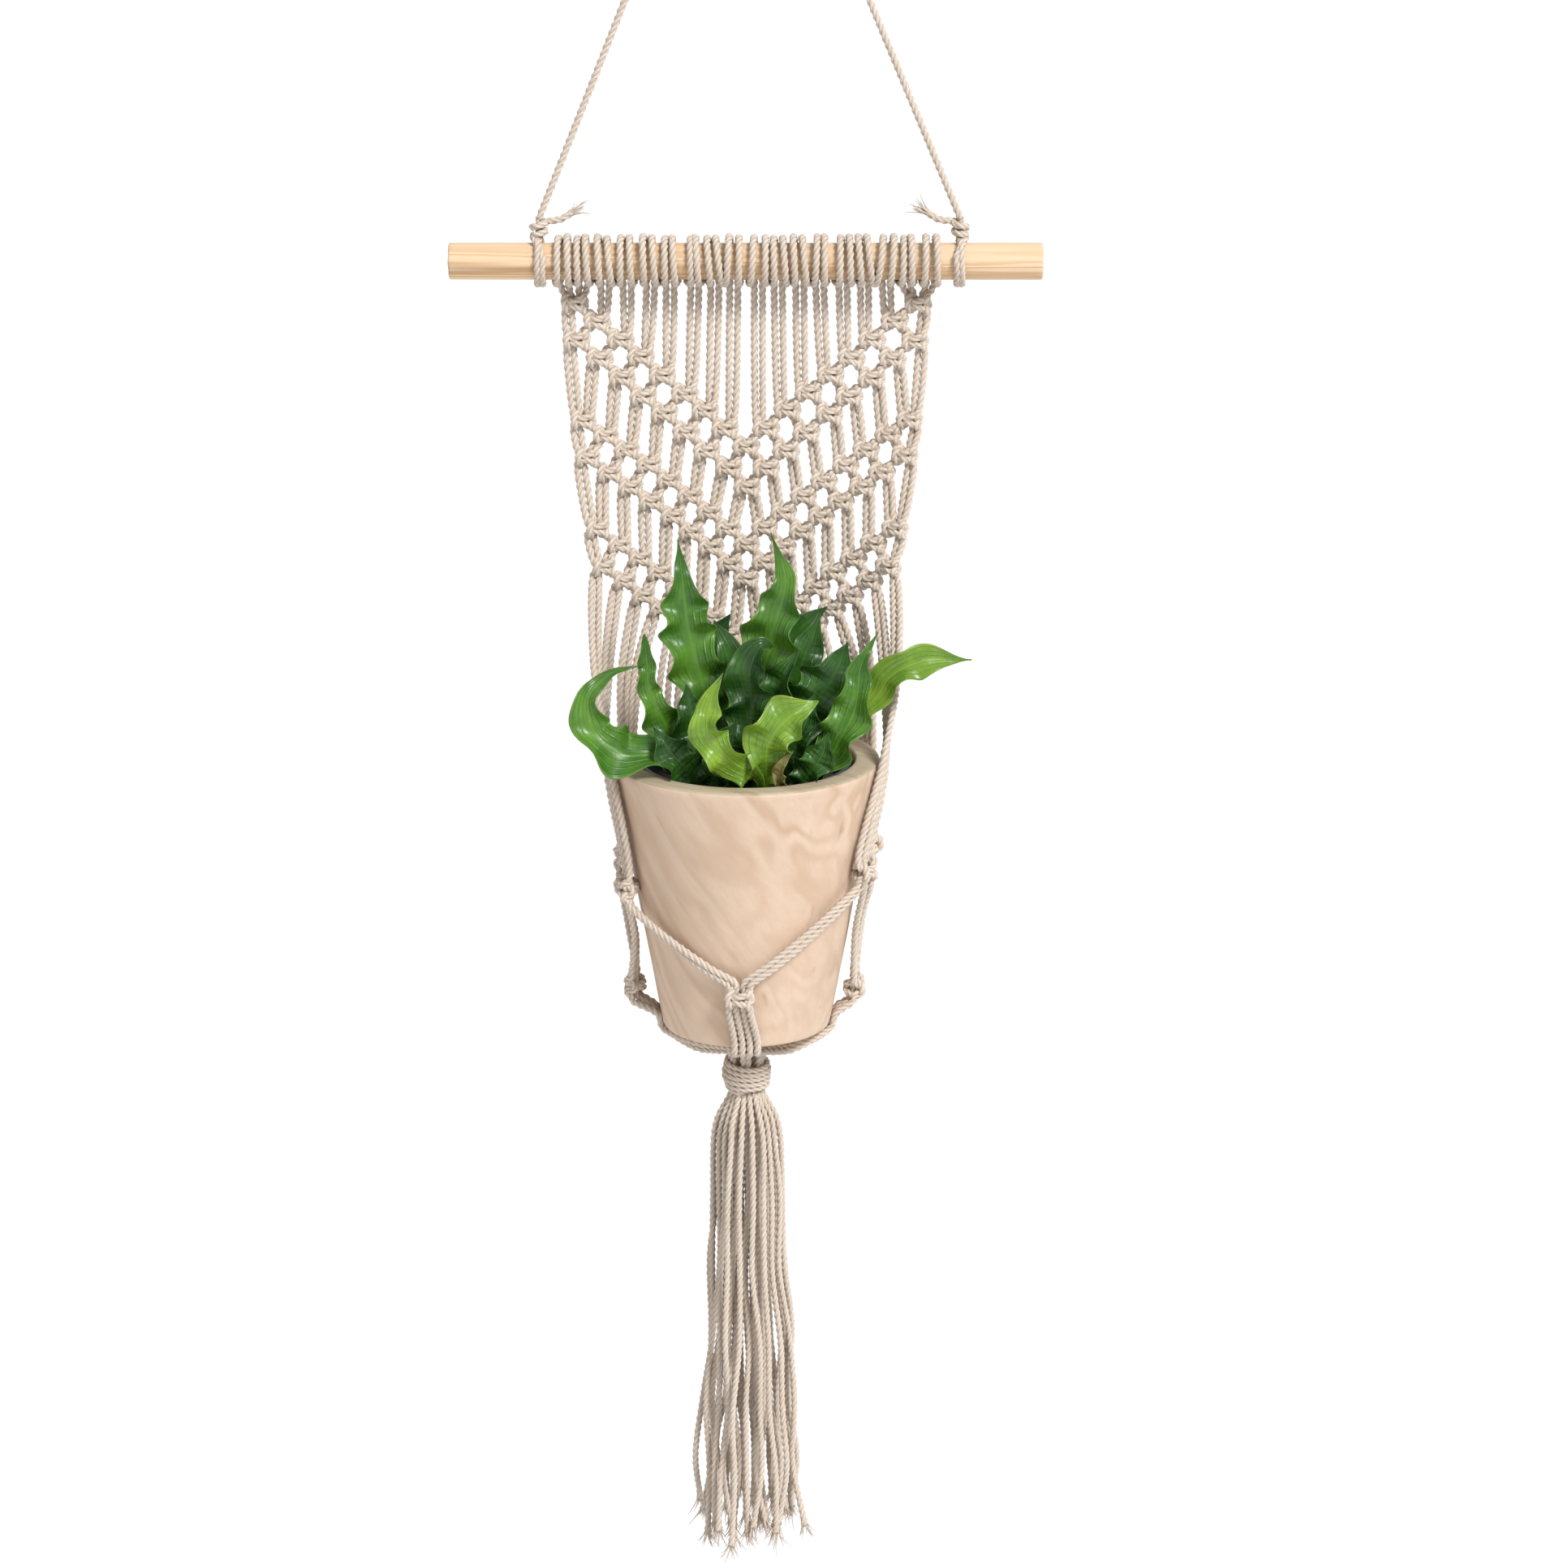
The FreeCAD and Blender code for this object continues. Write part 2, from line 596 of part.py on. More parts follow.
def potting_soil():
    """The filling of the nursery pot, a hair clear of its wall."""
    top = LINER_RIM_DROP + SOIL_DROP
    foot = POT_CAVITY_DEPTH - CLEARANCE - LINER_WALL - 0.1
    wall = LINER_WALL * 1.6 + 0.4
    profile = [
        (0, -foot), (liner_outer_radius(foot) - wall, -foot),
        (liner_outer_radius(top) - wall, -top), (0, -top),
    ]
    return revolve(profile, Vector(0, POT_Y, POT_RIM_Z))


# Each leaf: points from root to tip and the width at each, from the centre of the pot's rim.
LEAVES = {
    "upper_left_leaf": [[((-8, -8, -16), 4), ((-20, -12, 38), 8), ((-30, -14, 73), 16),
                         ((-33, -8, 114), 4)]],
    "tall_centre_leaf": [[((2, 6, -16), 4), ((7, -4, 41), 8), ((14, -12, 73), 16), ((18, -14, 98), 14),
                          ((16, -10, 116), 4)]],
    "right_rear_leaf": [[((10, 16, -16), 4), ((16, 18, 39), 10), ((28, 20, 60), 14), ((40, 22, 68), 4)]],
    "left_rear_leaf": [[((-6, 16, -16), 4), ((-17, 18, 35), 12), ((-17, 20, 54), 14), ((-11, 22, 66), 4)]],
    "curled_leaves": [[((-1, -19, -16), 4), ((0, -26, 33), 8), ((5, -28, 55), 10), ((8, -25, 64), 4)],
                      [((11, -12, -16), 4), ((19, -20, 32), 8), ((22, -22, 52), 10), ((26, -19, 60), 4)]],
    "right_round_leaf": [[((20, -3, -16), 4), ((32, -6, 25), 14), ((43, -8, 42), 16), ((51, -6, 54), 4)]],
    "right_tall_leaf": [[((26, -24, -16), 4), ((41, -31, 13), 12), ((53, -33, 38), 16), ((64, -26, 69), 4)]],
    "far_right_leaf": [[((30, 6, -16), 4), ((50, 0, 20), 8), ((72, -10, 44), 12), ((90, -14, 55), 14),
                        ((114, -10, 54), 3)]],
    "far_left_leaf": [[((-20, -20, -16), 4), ((-42, -32, 12), 8), ((-64, -40, 14), 16), ((-77, -40, 28), 16),
                       ((-76, -35, 46), 8), ((-64, -30, 54), 3)]],
    "left_spoon_leaf": [[((-26, -8, -16), 4), ((-40, -16, 22), 14), ((-49, -20, 44), 14),
                         ((-51, -19, 68), 4)]],
    "front_left_leaf": [[((-6, -32, -16), 4), ((-10, -46, 13), 10), ((-19, -50, 30), 14),
                         ((-14, -44, 52), 4)]],
    "front_centre_leaf": [[((12, -34, -16), 4), ((13, -48, 22), 14), ((22, -50, 36), 14),
                           ((34, -46, 41), 4)]],
    "withered_leaf": [[((24, -38, -16), 3), ((22, -48, 6), 6), ((27, -49, 16), 2)]],
}


def leaf(points):
    """A flat ribbon through the points, facing the front, as one closed solid."""
    centre = Vector(0, POT_Y, POT_RIM_Z)
    spread = liner_outer_radius(0.0) / LEAF_MOUTH_R
    places = [centre + Vector(x * spread, y * spread, z) for (x, y, z), _ in points]
    sections = []
    for index, (_, width) in enumerate(points):
        before = places[max(index - 1, 0)]
        after = places[min(index + 1, len(places) - 1)]
        along = (after - before).normalize()
        across = along.cross(Vector(0, 1, 0)).normalize() * (width / 2)
        through = along.cross(across).normalize() * (LEAF_T / 2)
        spot = places[index]
        near = [spot - across - through, spot + across - through]
        corners = near + [spot + across + through, spot - across + through]
        sections.append(Part.makePolygon(corners + corners[:1]))
    return Part.makeLoft(sections, True, True)


# ---------------------------------------------------------------- writing the nodes
def main():
    """Build every node and write it."""
    os.makedirs("parts", exist_ok=True)

    write("wall_hook", wall_hook())
    left_hitch = hitch(HITCH_LEFT_X, 1)
    right_hitch = hitch(HITCH_RIGHT_X, -1)
    write("left_hitch", left_hitch)
    write("right_hitch", right_hitch)
    cord = cord_tube("hanging_cord", hanging_cord_route(), HANGING_CORD_D)
    write("hanging_cord", cord.cut(left_hitch).cut(right_hitch))

    left_end = Vector(-DOWEL_LENGTH / 2, DOWEL_Y, DOWEL_Z)
    write("dowel", Part.makeCylinder(DOWEL_R, DOWEL_LENGTH, left_end, Vector(1, 0, 0)))
    write("larks_head_knots", larks_heads())
    write("top_drop_cords", drop_cords(None))
    write("middle_drop_cords", drop_cords(1))
    write("lower_drop_cords", drop_cords(3))
    for band, row in enumerate(KNOT_BAND_STEPS):
        write(row[0], knot_row(band))

    write("front_left_strap", strap(0, FRONT_LEFT, -76.0, CORD_R + 1.3))
    write("front_right_strap", strap(LEGS - 4, FRONT_RIGHT, 80.0, CORD_R + 1.3))
    write("back_left_strap", strap(4, BACK_LEFT, -125.0, 8.0))
    write("back_right_strap", strap(LEGS - 8, BACK_RIGHT, 125.0, 8.0))
    write("back_drop_cords", back_drop_cords())

    knots = {
        "front_left_knot": FRONT_LEFT, "front_right_knot": FRONT_RIGHT,
        "back_left_knot": BACK_LEFT, "back_right_knot": BACK_RIGHT,
        "front_knot": FRONT, "left_knot": LEFT, "right_knot": RIGHT, "back_knot": BACK,
    }
    for name, knot in knots.items():
        write(name, knot.solid())

    write("front_left_to_front_cords", pair_of_cords(FRONT_LEFT, (1, 2), FRONT, (3, 4), 4))
    write("front_right_to_front_cords", pair_of_cords(FRONT_RIGHT, (3, 4), FRONT, (1, 2), 4))
    write("front_left_to_left_cords", pair_of_cords(FRONT_LEFT, (3, 4), LEFT, (1, 2), 1))
    write("front_right_to_right_cords", pair_of_cords(FRONT_RIGHT, (1, 2), RIGHT, (3, 4), 1))
    write("back_left_to_left_cords", pair_of_cords(BACK_LEFT, (1, 2), LEFT, (3, 4), 1))
    write("back_right_to_right_cords", pair_of_cords(BACK_RIGHT, (3, 4), RIGHT, (1, 2), 1))
    write("back_left_to_back_cords", pair_of_cords(BACK_LEFT, (3, 4), BACK, (1, 2), 3))
    write("back_right_to_back_cords", pair_of_cords(BACK_RIGHT, (1, 2), BACK, (3, 4), 2))
    write("front_base_cords", base_cords(FRONT, 0.0))
    write("left_base_cords", base_cords(LEFT, -90.0))
    write("right_base_cords", base_cords(RIGHT, 90.0))
    write("back_base_cords", back_base_band())
    write("cord_neck", neck_solid())

    write("gathering_wrap", gathering_wrap())
    places = tassel_places()
    write("inner_tassel_strands", tassel_strands(places[:LEGS // 2]))
    write("outer_tassel_strands", tassel_strands(places[LEGS // 2:]))

    write("wooden_pot", wooden_pot())
    write("nursery_pot", nursery_pot())
    soil = potting_soil()
    write("potting_soil", soil)
    for name, leaves in LEAVES.items():
        write(name, group([leaf(points).cut(soil) for points in leaves]))


main()
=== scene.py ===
"""Hanging macrame planter: knotted cotton cords on a dowel, a wooden pot with a fern, and a tassel.

Lengths are millimetres in the frame's axes (+X right, +Y into the wall, +Z up). A mesh is
scaled to metres when it is made.
"""
import json
import logging
import math
from dataclasses import dataclass, field
from enum import Enum
from typing import Any, Callable, Iterable, Sequence

import bpy
import numpy as np
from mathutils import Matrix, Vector


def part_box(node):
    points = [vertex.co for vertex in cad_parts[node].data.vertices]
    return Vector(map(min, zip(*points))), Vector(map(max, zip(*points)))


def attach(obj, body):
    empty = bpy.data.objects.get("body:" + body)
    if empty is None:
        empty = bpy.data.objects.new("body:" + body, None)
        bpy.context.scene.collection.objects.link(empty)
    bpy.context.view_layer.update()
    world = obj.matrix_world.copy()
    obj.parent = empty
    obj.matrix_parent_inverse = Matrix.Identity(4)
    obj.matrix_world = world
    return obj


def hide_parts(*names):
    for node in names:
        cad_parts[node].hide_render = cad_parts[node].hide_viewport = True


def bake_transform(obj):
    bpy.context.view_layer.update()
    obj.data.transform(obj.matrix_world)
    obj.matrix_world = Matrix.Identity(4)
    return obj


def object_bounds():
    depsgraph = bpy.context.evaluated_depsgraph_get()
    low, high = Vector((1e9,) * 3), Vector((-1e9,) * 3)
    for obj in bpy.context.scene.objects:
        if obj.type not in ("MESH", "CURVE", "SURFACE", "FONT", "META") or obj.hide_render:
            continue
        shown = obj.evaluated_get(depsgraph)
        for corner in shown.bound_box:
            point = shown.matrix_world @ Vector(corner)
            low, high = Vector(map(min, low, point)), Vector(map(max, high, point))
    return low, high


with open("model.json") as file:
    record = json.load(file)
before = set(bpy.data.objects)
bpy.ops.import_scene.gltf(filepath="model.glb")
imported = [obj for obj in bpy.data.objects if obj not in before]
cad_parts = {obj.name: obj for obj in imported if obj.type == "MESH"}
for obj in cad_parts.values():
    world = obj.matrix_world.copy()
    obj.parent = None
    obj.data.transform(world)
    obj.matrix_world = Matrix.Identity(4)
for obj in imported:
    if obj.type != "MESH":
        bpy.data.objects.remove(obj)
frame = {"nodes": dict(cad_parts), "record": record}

LOG = logging.getLogger("planter")
CAD_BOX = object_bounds()
MM = 0.001
Array = np.ndarray
Colour = tuple[float, float, float]


# ---------------------------------------------------------------- geometry helpers
def unit(vectors: Array) -> Array:
    """The vectors, each divided by its length."""
    return vectors / np.maximum(np.linalg.norm(vectors, axis=-1, keepdims=True), 1e-12)


def corners(node: str) -> tuple[Array, Array]:
    """A CAD node's lowest and highest corners in millimetres."""
    low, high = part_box(node)
    return np.array(low) / MM, np.array(high) / MM


def middle(node: str) -> Array:
    """The middle of a CAD node's box in millimetres."""
    low, high = corners(node)
    return (low + high) / 2


def lengths_along(line: Array) -> Array:
    """Distance from the start to every point of a line."""
    return np.r_[0.0, np.cumsum(np.linalg.norm(np.diff(line, axis=0), axis=1))]


def even_line(line: Array, step: float) -> Array:
    """The same line with its points a step apart."""
    along = lengths_along(line)
    places = np.linspace(0.0, along[-1], max(3, int(round(along[-1] / step)) + 1))
    return np.stack([np.interp(places, along, line[:, axis]) for axis in range(3)], axis=1)


def smooth_line(points: Iterable[Sequence[float]], step: float) -> Array:
    """A centripetal Catmull-Rom curve through the points.

    Each span blends straight lines between neighbouring points three times over (the
    Barry-Goldman pyramid), with knots spaced by the square root of the distance.

    Args:
        points: places that the curve passes through.
        step: distance between the points returned.

    Returns:
        The curve as points a step apart.
    """
    p = np.asarray(list(points), float)
    p = p[np.r_[True, np.linalg.norm(np.diff(p, axis=0), axis=1) > 0.05]]
    p = np.vstack([2 * p[0] - p[1], p, 2 * p[-1] - p[-2]])
    t = np.r_[0.0, np.cumsum(np.linalg.norm(np.diff(p, axis=0), axis=1) ** 0.5)]
    t0, t1, t2, t3 = (t[k:len(t) - 3 + k, None, None] for k in range(4))
    p0, p1, p2, p3 = (p[k:len(p) - 3 + k, None, :] for k in range(4))
    at = t1 + np.linspace(0.0, 1.0, 8, endpoint=False)[None, :, None] * (t2 - t1)

    def between(a: Array, b: Array, ta: Array, tb: Array) -> Array:
        """The straight blend from a at ta to b at tb."""
        return ((tb - at) * a + (at - ta) * b) / (tb - ta)

    a1, a2, a3 = between(p0, p1, t0, t1), between(p1, p2, t1, t2), between(p2, p3, t2, t3)
    curve = between(between(a1, a2, t0, t2), between(a2, a3, t1, t3), t1, t2)
    return even_line(np.vstack([curve.reshape(-1, 3), p[-2]]), step)


def carried_frames(line: Array) -> tuple[Array, Array]:
    """Two normals carried along a line without twist, by double reflection.

    Args:
        line: points of the line.

    Returns:
        The first normals and the second ones, which is the tangent crossed with the first.
    """
    tangent = unit(np.gradient(line, axis=0))
    side = np.empty_like(line)
    helper = np.eye(3)[np.argmin(np.abs(tangent[0]))]
    side[0] = unit(np.cross(tangent[0], helper))
    for i in range(len(line) - 1):
        chord = line[i + 1] - line[i]
        scale = 2.0 / max(chord @ chord, 1e-12)
        turned = side[i] - scale * (chord @ side[i]) * chord
        ahead = tangent[i] - scale * (chord @ tangent[i]) * chord
        change = tangent[i + 1] - ahead
        size = change @ change
        side[i + 1] = turned - (2.0 / size) * (change @ turned) * change if size > 1e-12 else turned
    side = unit(side - np.sum(side * tangent, axis=1, keepdims=True) * tangent)
    return side, np.cross(tangent, side)


def waves(along: Array, seed: int, longest: float, terms: int = 4) -> Array:
    """A smooth random curve: a sum of sines with ever shorter waves, of size about 1.

    Args:
        along: places where the value is wanted.
        seed: picks the curve.
        longest: length of the longest wave.
        terms: number of sines.

    Returns:
        One value for each place.
    """
    chance = np.random.default_rng(seed)
    total = np.zeros_like(along, dtype=float)
    for term in range(terms):
        phase, share = chance.uniform(0, 2 * math.pi), chance.uniform(0.8, 1.25)
        total += np.sin(2 * math.pi * along * (term + 1) * share / longest + phase) / (term + 1)
    return total / 1.6


@dataclass
class Shell:
    """A closed skin: a grid of points whose second direction may meet itself, with closed ends."""

    grid: Array
    wrap: bool = True
    caps: bool = True
    uv_size: tuple[float, float] = (1.0, 1.0)

    def faces(self) -> tuple[Array, list[list[int]], Array, Array]:
        """Points, faces and a UV for each corner of each face.

        Returns:
            The points, the faces as index lists, the corner UVs, and the number of corners
            in each face.
        """
        rows, columns, _ = self.grid.shape
        points = self.grid.reshape(-1, 3)
        spans = columns if self.wrap else columns - 1
        i, k = np.meshgrid(np.arange(rows - 1), np.arange(spans), indexing="ij")
        near, far = i * columns, (i + 1) * columns
        after = (k + 1) % columns
        quads = np.stack([near + k, near + after, far + after, far + k], axis=-1).reshape(-1, 4)
        u = np.stack([i, i, i + 1, i + 1], axis=-1).reshape(-1, 4) / (rows - 1) * self.uv_size[0]
        v = np.stack([k, k + 1, k + 1, k], axis=-1).reshape(-1, 4) / spans * self.uv_size[1]
        faces = quads.tolist()
        corner_uv = np.stack([u, v], axis=-1).reshape(-1, 2)
        if self.wrap and self.caps:
            start, end = len(points), len(points) + 1
            points = np.vstack([points, self.grid[0].mean(0), self.grid[-1].mean(0)])
            ring = np.arange(columns)
            nxt = (ring + 1) % columns
            last = (rows - 1) * columns
            head = np.stack([np.full(columns, start), nxt, ring], axis=-1)
            foot = np.stack([np.full(columns, end), last + ring, last + nxt], axis=-1)
            faces += head.tolist() + foot.tolist()
            cap_uv = np.tile([[0.0, 0.0], [0.0, 0.1], [0.0, 0.0]], (2 * columns, 1))
            cap_uv[3 * columns:, 0] = self.uv_size[0]
            corner_uv = np.vstack([corner_uv, cap_uv])
        if self.wrap and self.caps and self._volume(points, quads) < 0:
            faces = [face[::-1] for face in faces]
            sizes = np.array([len(face) for face in faces])
            starts = np.r_[0, np.cumsum(sizes)[:-1]]
            order = np.concatenate([s + np.arange(n)[::-1] for s, n in zip(starts, sizes)])
            corner_uv = corner_uv[order]
        return points, faces, corner_uv, np.array([len(face) for face in faces])

    @staticmethod
    def _volume(points: Array, quads: Array) -> float:
        """Signed volume of the skin from its quads, up to the ends' share."""
        p = points - points.mean(0)
        a, b, c, d = (p[quads[:, n]] for n in range(4))
        return float(np.sum(a * np.cross(b, c)) + np.sum(a * np.cross(c, d)))


def make_piece(name: str, shells: Sequence[Shell], material: bpy.types.Material, body: str,
               replaces: Sequence[str] = ()) -> bpy.types.Object:
    """Put shells into one mesh object, in metres, on its body.

    Args:
        name: name of the piece.
        shells: its closed skins, in millimetres.
        material: its finish.
        body: the CAD body that it moves with, or nothing for a piece that is left on no body, such as one
            that runs between two.
        replaces: CAD nodes that it stands for.

    Returns:
        The object.
    """
    points: list[Array] = []
    faces: list[list[int]] = []
    uvs: list[Array] = []
    count = 0
    for shell in shells:
        shell_points, shell_faces, corner_uv, _ = shell.faces()
        points.append(shell_points)
        faces += (np.array([f for f in shell_faces if len(f) == 4]).reshape(-1, 4) + count).tolist()
        triangles = np.array([f for f in shell_faces if len(f) == 3]).reshape(-1, 3) + count
        faces += triangles.astype(int).tolist()
        uvs.append(corner_uv)
        count += len(shell_points)
    mesh = bpy.data.meshes.new(name)
    mesh.from_pydata((np.vstack(points) * MM).tolist(), [], faces)
    layer = mesh.uv_layers.new(name="lay")
    layer.data.foreach_set("uv", np.vstack(uvs).astype(np.float32).ravel())
    mesh.shade_smooth()
    mesh.materials.append(material)
    mesh.validate()
    piece = bpy.data.objects.new(name, mesh)
    bpy.context.scene.collection.objects.link(piece)
    if body:
        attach(piece, body)
    if replaces:
        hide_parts(*replaces)
    LOG.info("%s: %d faces on %s", name, len(faces), body)
    return piece


# ---------------------------------------------------------------- shader maths
class Value:
    """A node's output socket that takes part in Python arithmetic."""

    def __init__(self, paint: "Paint", socket: bpy.types.NodeSocket) -> None:
        """Wrap a socket of a paint's node tree."""
        self.paint = paint
        self.socket = socket

    def _math(self, operation: str, first: Any, second: Any = 0.0, clamp: bool = False) -> "Value":
        """Add a Math node.

        Args:
            operation: the node's operation.
            first: its first value or socket.
            second: its second value or socket.
            clamp: whether it holds the result between 0 and 1.

        Returns:
            The node's output.
        """
        settings = {"operation": operation, "use_clamp": clamp}
        return self.paint.node("ShaderNodeMath", settings, {0: first, 1: second})

    def __add__(self, other: Any) -> "Value":
        """self + other."""
        return self._math("ADD", self, other)

    __radd__ = __add__

    def __sub__(self, other: Any) -> "Value":
        """self - other."""
        return self._math("SUBTRACT", self, other)

    def __rsub__(self, other: Any) -> "Value":
        """other - self."""
        return self._math("SUBTRACT", other, self)

    def __mul__(self, other: Any) -> "Value":
        """self * other."""
        return self._math("MULTIPLY", self, other)

    __rmul__ = __mul__

    def __truediv__(self, other: Any) -> "Value":
        """self / other."""
        return self._math("DIVIDE", self, other)

    def __pow__(self, other: Any) -> "Value":
        """self to the power other."""
        return self._math("POWER", self, other)

    def clamped(self) -> "Value":
        """self, held between 0 and 1."""
        return self._math("ADD", self, 0.0, clamp=True)

    def between(self, low: float, high: float) -> "Value":
        """0 below low, 1 above high, and a straight rise between them."""
        return self._math("MULTIPLY", self - low, 1.0 / (high - low), clamp=True)


class Paint:
    """One material, with a single way of adding nodes to it."""

    def __init__(self, name: str) -> None:
        """Start a material that has a Principled shader and an output."""
        self.material = bpy.data.materials.new(name)
        self.material.use_nodes = True
        self.tree = self.material.node_tree
        self.tree.nodes.clear()
        self.shader = self.tree.nodes.new("ShaderNodeBsdfPrincipled")
        self.node("ShaderNodeOutputMaterial", {}, {"Surface": self.shader.outputs[0]})

    def node(self, kind: str, settings: dict[str, Any] | None = None, inputs: dict[Any, Any] | None = None,
             output: Any = 0) -> Value | None:
        """Add one node: its settings first, then the values or links of its sockets.

        Args:
            kind: the node's type.
            settings: attributes; "stops" gives a ramp's positions and colours.
            inputs: socket name or number to a number, colour, Value or socket.
            output: name or number of the output that is returned.

        Returns:
            The chosen output, or None for a node without outputs.
        """
        made = self.tree.nodes.new(kind)
        for key, value in (settings or {}).items():
            if key == "stops":
                self._set_stops(made.color_ramp, value)
            else:
                setattr(made, key, value)
        for key, value in (inputs or {}).items():
            self.feed(made.inputs[key], value)
        return Value(self, made.outputs[output]) if len(made.outputs) else None

    @staticmethod
    def _set_stops(ramp: bpy.types.ColorRamp, stops: Sequence[tuple[float, Colour]]) -> None:
        """Give a ramp its stops."""
        while len(ramp.elements) < len(stops):
            ramp.elements.new(0.5)
        for element, (position, colour) in zip(ramp.elements, stops):
            element.position = position
            element.color = (*colour, 1.0)

    def feed(self, socket: bpy.types.NodeSocket, value: Any) -> None:
        """Set a socket to a number or colour, or link it."""
        if isinstance(value, Value):
            self.tree.links.new(value.socket, socket)
        elif isinstance(value, bpy.types.NodeSocket):
            self.tree.links.new(value, socket)
        elif isinstance(value, tuple) and len(value) == 3 and socket.type == "RGBA":
            socket.default_value = (*value, 1.0)
        else:
            socket.default_value = value

    def set(self, **values: Any) -> None:
        """Feed the Principled shader's sockets, written with _ for a space."""
        for key, value in values.items():
            self.feed(self.shader.inputs[key.replace("_", " ")], value)

    def place(self, scale: tuple[float, float, float] = (1, 1, 1),
              turn: tuple[float, float, float] = (0, 0, 0),
              shift: tuple[float, float, float] = (0, 0, 0), by_uv: bool = False) -> Value:
        """Object or UV coordinates, turned first, then scaled and shifted."""
        spot = self.node("ShaderNodeTexCoord", {}, {}, "UV" if by_uv else "Object")
        if any(turn):
            angles = tuple(math.radians(angle) for angle in turn)
            spot = self.node("ShaderNodeMapping", {}, {"Vector": spot, "Rotation": angles})
        return self.node("ShaderNodeMapping", {}, {"Vector": spot, "Scale": scale, "Location": shift})

    def noise(self, spot: Value, scale: float, detail: float = 3.0, rough: float = 0.5,
              bend: float = 0.0) -> Value:
        """A noise value from 0 to 1."""
        values = {"Vector": spot, "Scale": scale, "Detail": detail, "Roughness": rough, "Distortion": bend}
        return self.node("ShaderNodeTexNoise", {}, values, "Fac")

    def sine(self, value: Value) -> Value:
        """The sine of a value in radians."""
        return value._math("SINE", value)

    def absolute(self, value: Value) -> Value:
        """A value without its sign."""
        return value._math("ABSOLUTE", value)

    def fraction(self, value: Value) -> Value:
        """What is left of a value after its whole part."""
        return value._math("FRACT", value)

    def blend(self, share: Any, first: Any, second: Any, mode: str = "MIX") -> Value:
        """Mix two colours."""
        settings = {"data_type": "RGBA", "blend_type": mode}
        made = self.tree.nodes.new("ShaderNodeMix")
        for key, value in settings.items():
            setattr(made, key, value)
        for number, value in ((0, share), (6, first), (7, second)):
            self.feed(made.inputs[number], value)
        return Value(self, made.outputs[2])

    def ramp(self, value: Value, stops: Sequence[tuple[float, Colour]]) -> Value:
        """A colour for each value."""
        return self.node("ShaderNodeValToRGB", {"stops": stops}, {"Fac": value})

    def relief(self, height: Value, depth_mm: float) -> None:
        """Raise the surface by a height pattern of 0 to 1, over a depth in millimetres."""
        values = {"Height": height, "Distance": depth_mm * MM, "Strength": 1.0}
        self.set(Normal=self.node("ShaderNodeBump", {}, values))


# ---------------------------------------------------------------- finishes
@dataclass(frozen=True)
class CottonFinish:
    """Natural twisted cotton: cream fibres, painted shade in the grooves between strands and a fine fuzz."""

    pale: Colour = (0.82, 0.715, 0.605)
    warm: Colour = (0.74, 0.62, 0.50)
    # groove: colour of the painted shade in the grooves between strands.
    groove: Colour = (0.38, 0.275, 0.20)
    strands: int = 3

    def material(self, name: str) -> bpy.types.Material:
        """The cord's material; its UV runs along the cord in metres and once round it."""
        paint = Paint(name)
        spot = paint.place()
        blotch = paint.noise(spot, 38.0, 3.0, 0.6)
        lay = paint.node("ShaderNodeSeparateXYZ", {}, {0: paint.place(by_uv=True)}, "Y")
        ridge = paint.absolute(paint.fraction(lay * self.strands) - 0.5) * 2.0
        fibre = paint.noise(paint.place((260.0, 46.0, 1.0), by_uv=True), 1.0, 4.0, 0.65, 0.4)
        fuzz = paint.noise(spot, 1900.0, 3.0, 0.7)
        cream = paint.blend(blotch.between(0.3, 0.72), self.pale, self.warm)
        # Painted shade: the grooves between strands are darkened towards the groove colour; the fibre noise
        # adds real tone.
        groove_shade_and_fibre_tone = ((1 - ridge) ** 2.0 * 0.75 + (fibre - 0.5) * 0.35).clamped()
        paint.set(Base_Color=paint.blend(groove_shade_and_fibre_tone, cream, self.groove), Roughness=0.93)
        paint.set(Sheen_Weight=0.35, Sheen_Roughness=0.6, Specular_IOR_Level=0.2)
        paint.relief(fibre * 0.7 + fuzz * 0.3, 0.45)
        return paint.material


@dataclass(frozen=True)
class PineFinish:
    """Bare pine: long fibres, growth bands and small dark flecks along one direction."""

    pale: Colour
    band: Colour
    fleck: Colour
    fibre_scale: tuple[float, float, float]
    turn: tuple[float, float, float]
    band_scale: float = 60.0
    rings: float = 22.0

    def material(self, name: str) -> bpy.types.Material:
        """The wood's material on object coordinates."""
        paint = Paint(name)
        along = paint.place(self.fibre_scale, self.turn)
        drift = paint.noise(along, self.band_scale, 2.0, 0.45, 0.3)
        bands = (paint.sine(drift * self.rings) * 0.5 + 0.5) ** 1.6
        broad = paint.noise(along, self.band_scale * 0.45, 2.0, 0.5).between(0.35, 0.68)
        fibres = paint.noise(along, self.band_scale * 9.0, 4.0, 0.7)
        blotch = paint.noise(paint.place(), 22.0, 2.0, 0.5)
        flecks = paint.noise(along, self.band_scale * 3.2, 2.0, 0.5).between(0.66, 0.78)
        wood = paint.blend((bands * (broad * 0.7 + 0.3)).clamped(), self.pale, self.band)
        wood = paint.blend((fibres.between(0.35, 0.75)) * 0.35, wood, self.band)
        wood = paint.blend(flecks * 0.55, wood, self.fleck)
        wood = paint.blend(blotch.between(0.35, 0.75) * 0.14, wood, self.fleck)
        paint.set(Base_Color=wood, Roughness=(bands * 0.15 + 0.62), Specular_IOR_Level=0.3)
        paint.relief(fibres * 0.6 + bands * 0.4, 0.35)
        return paint.material


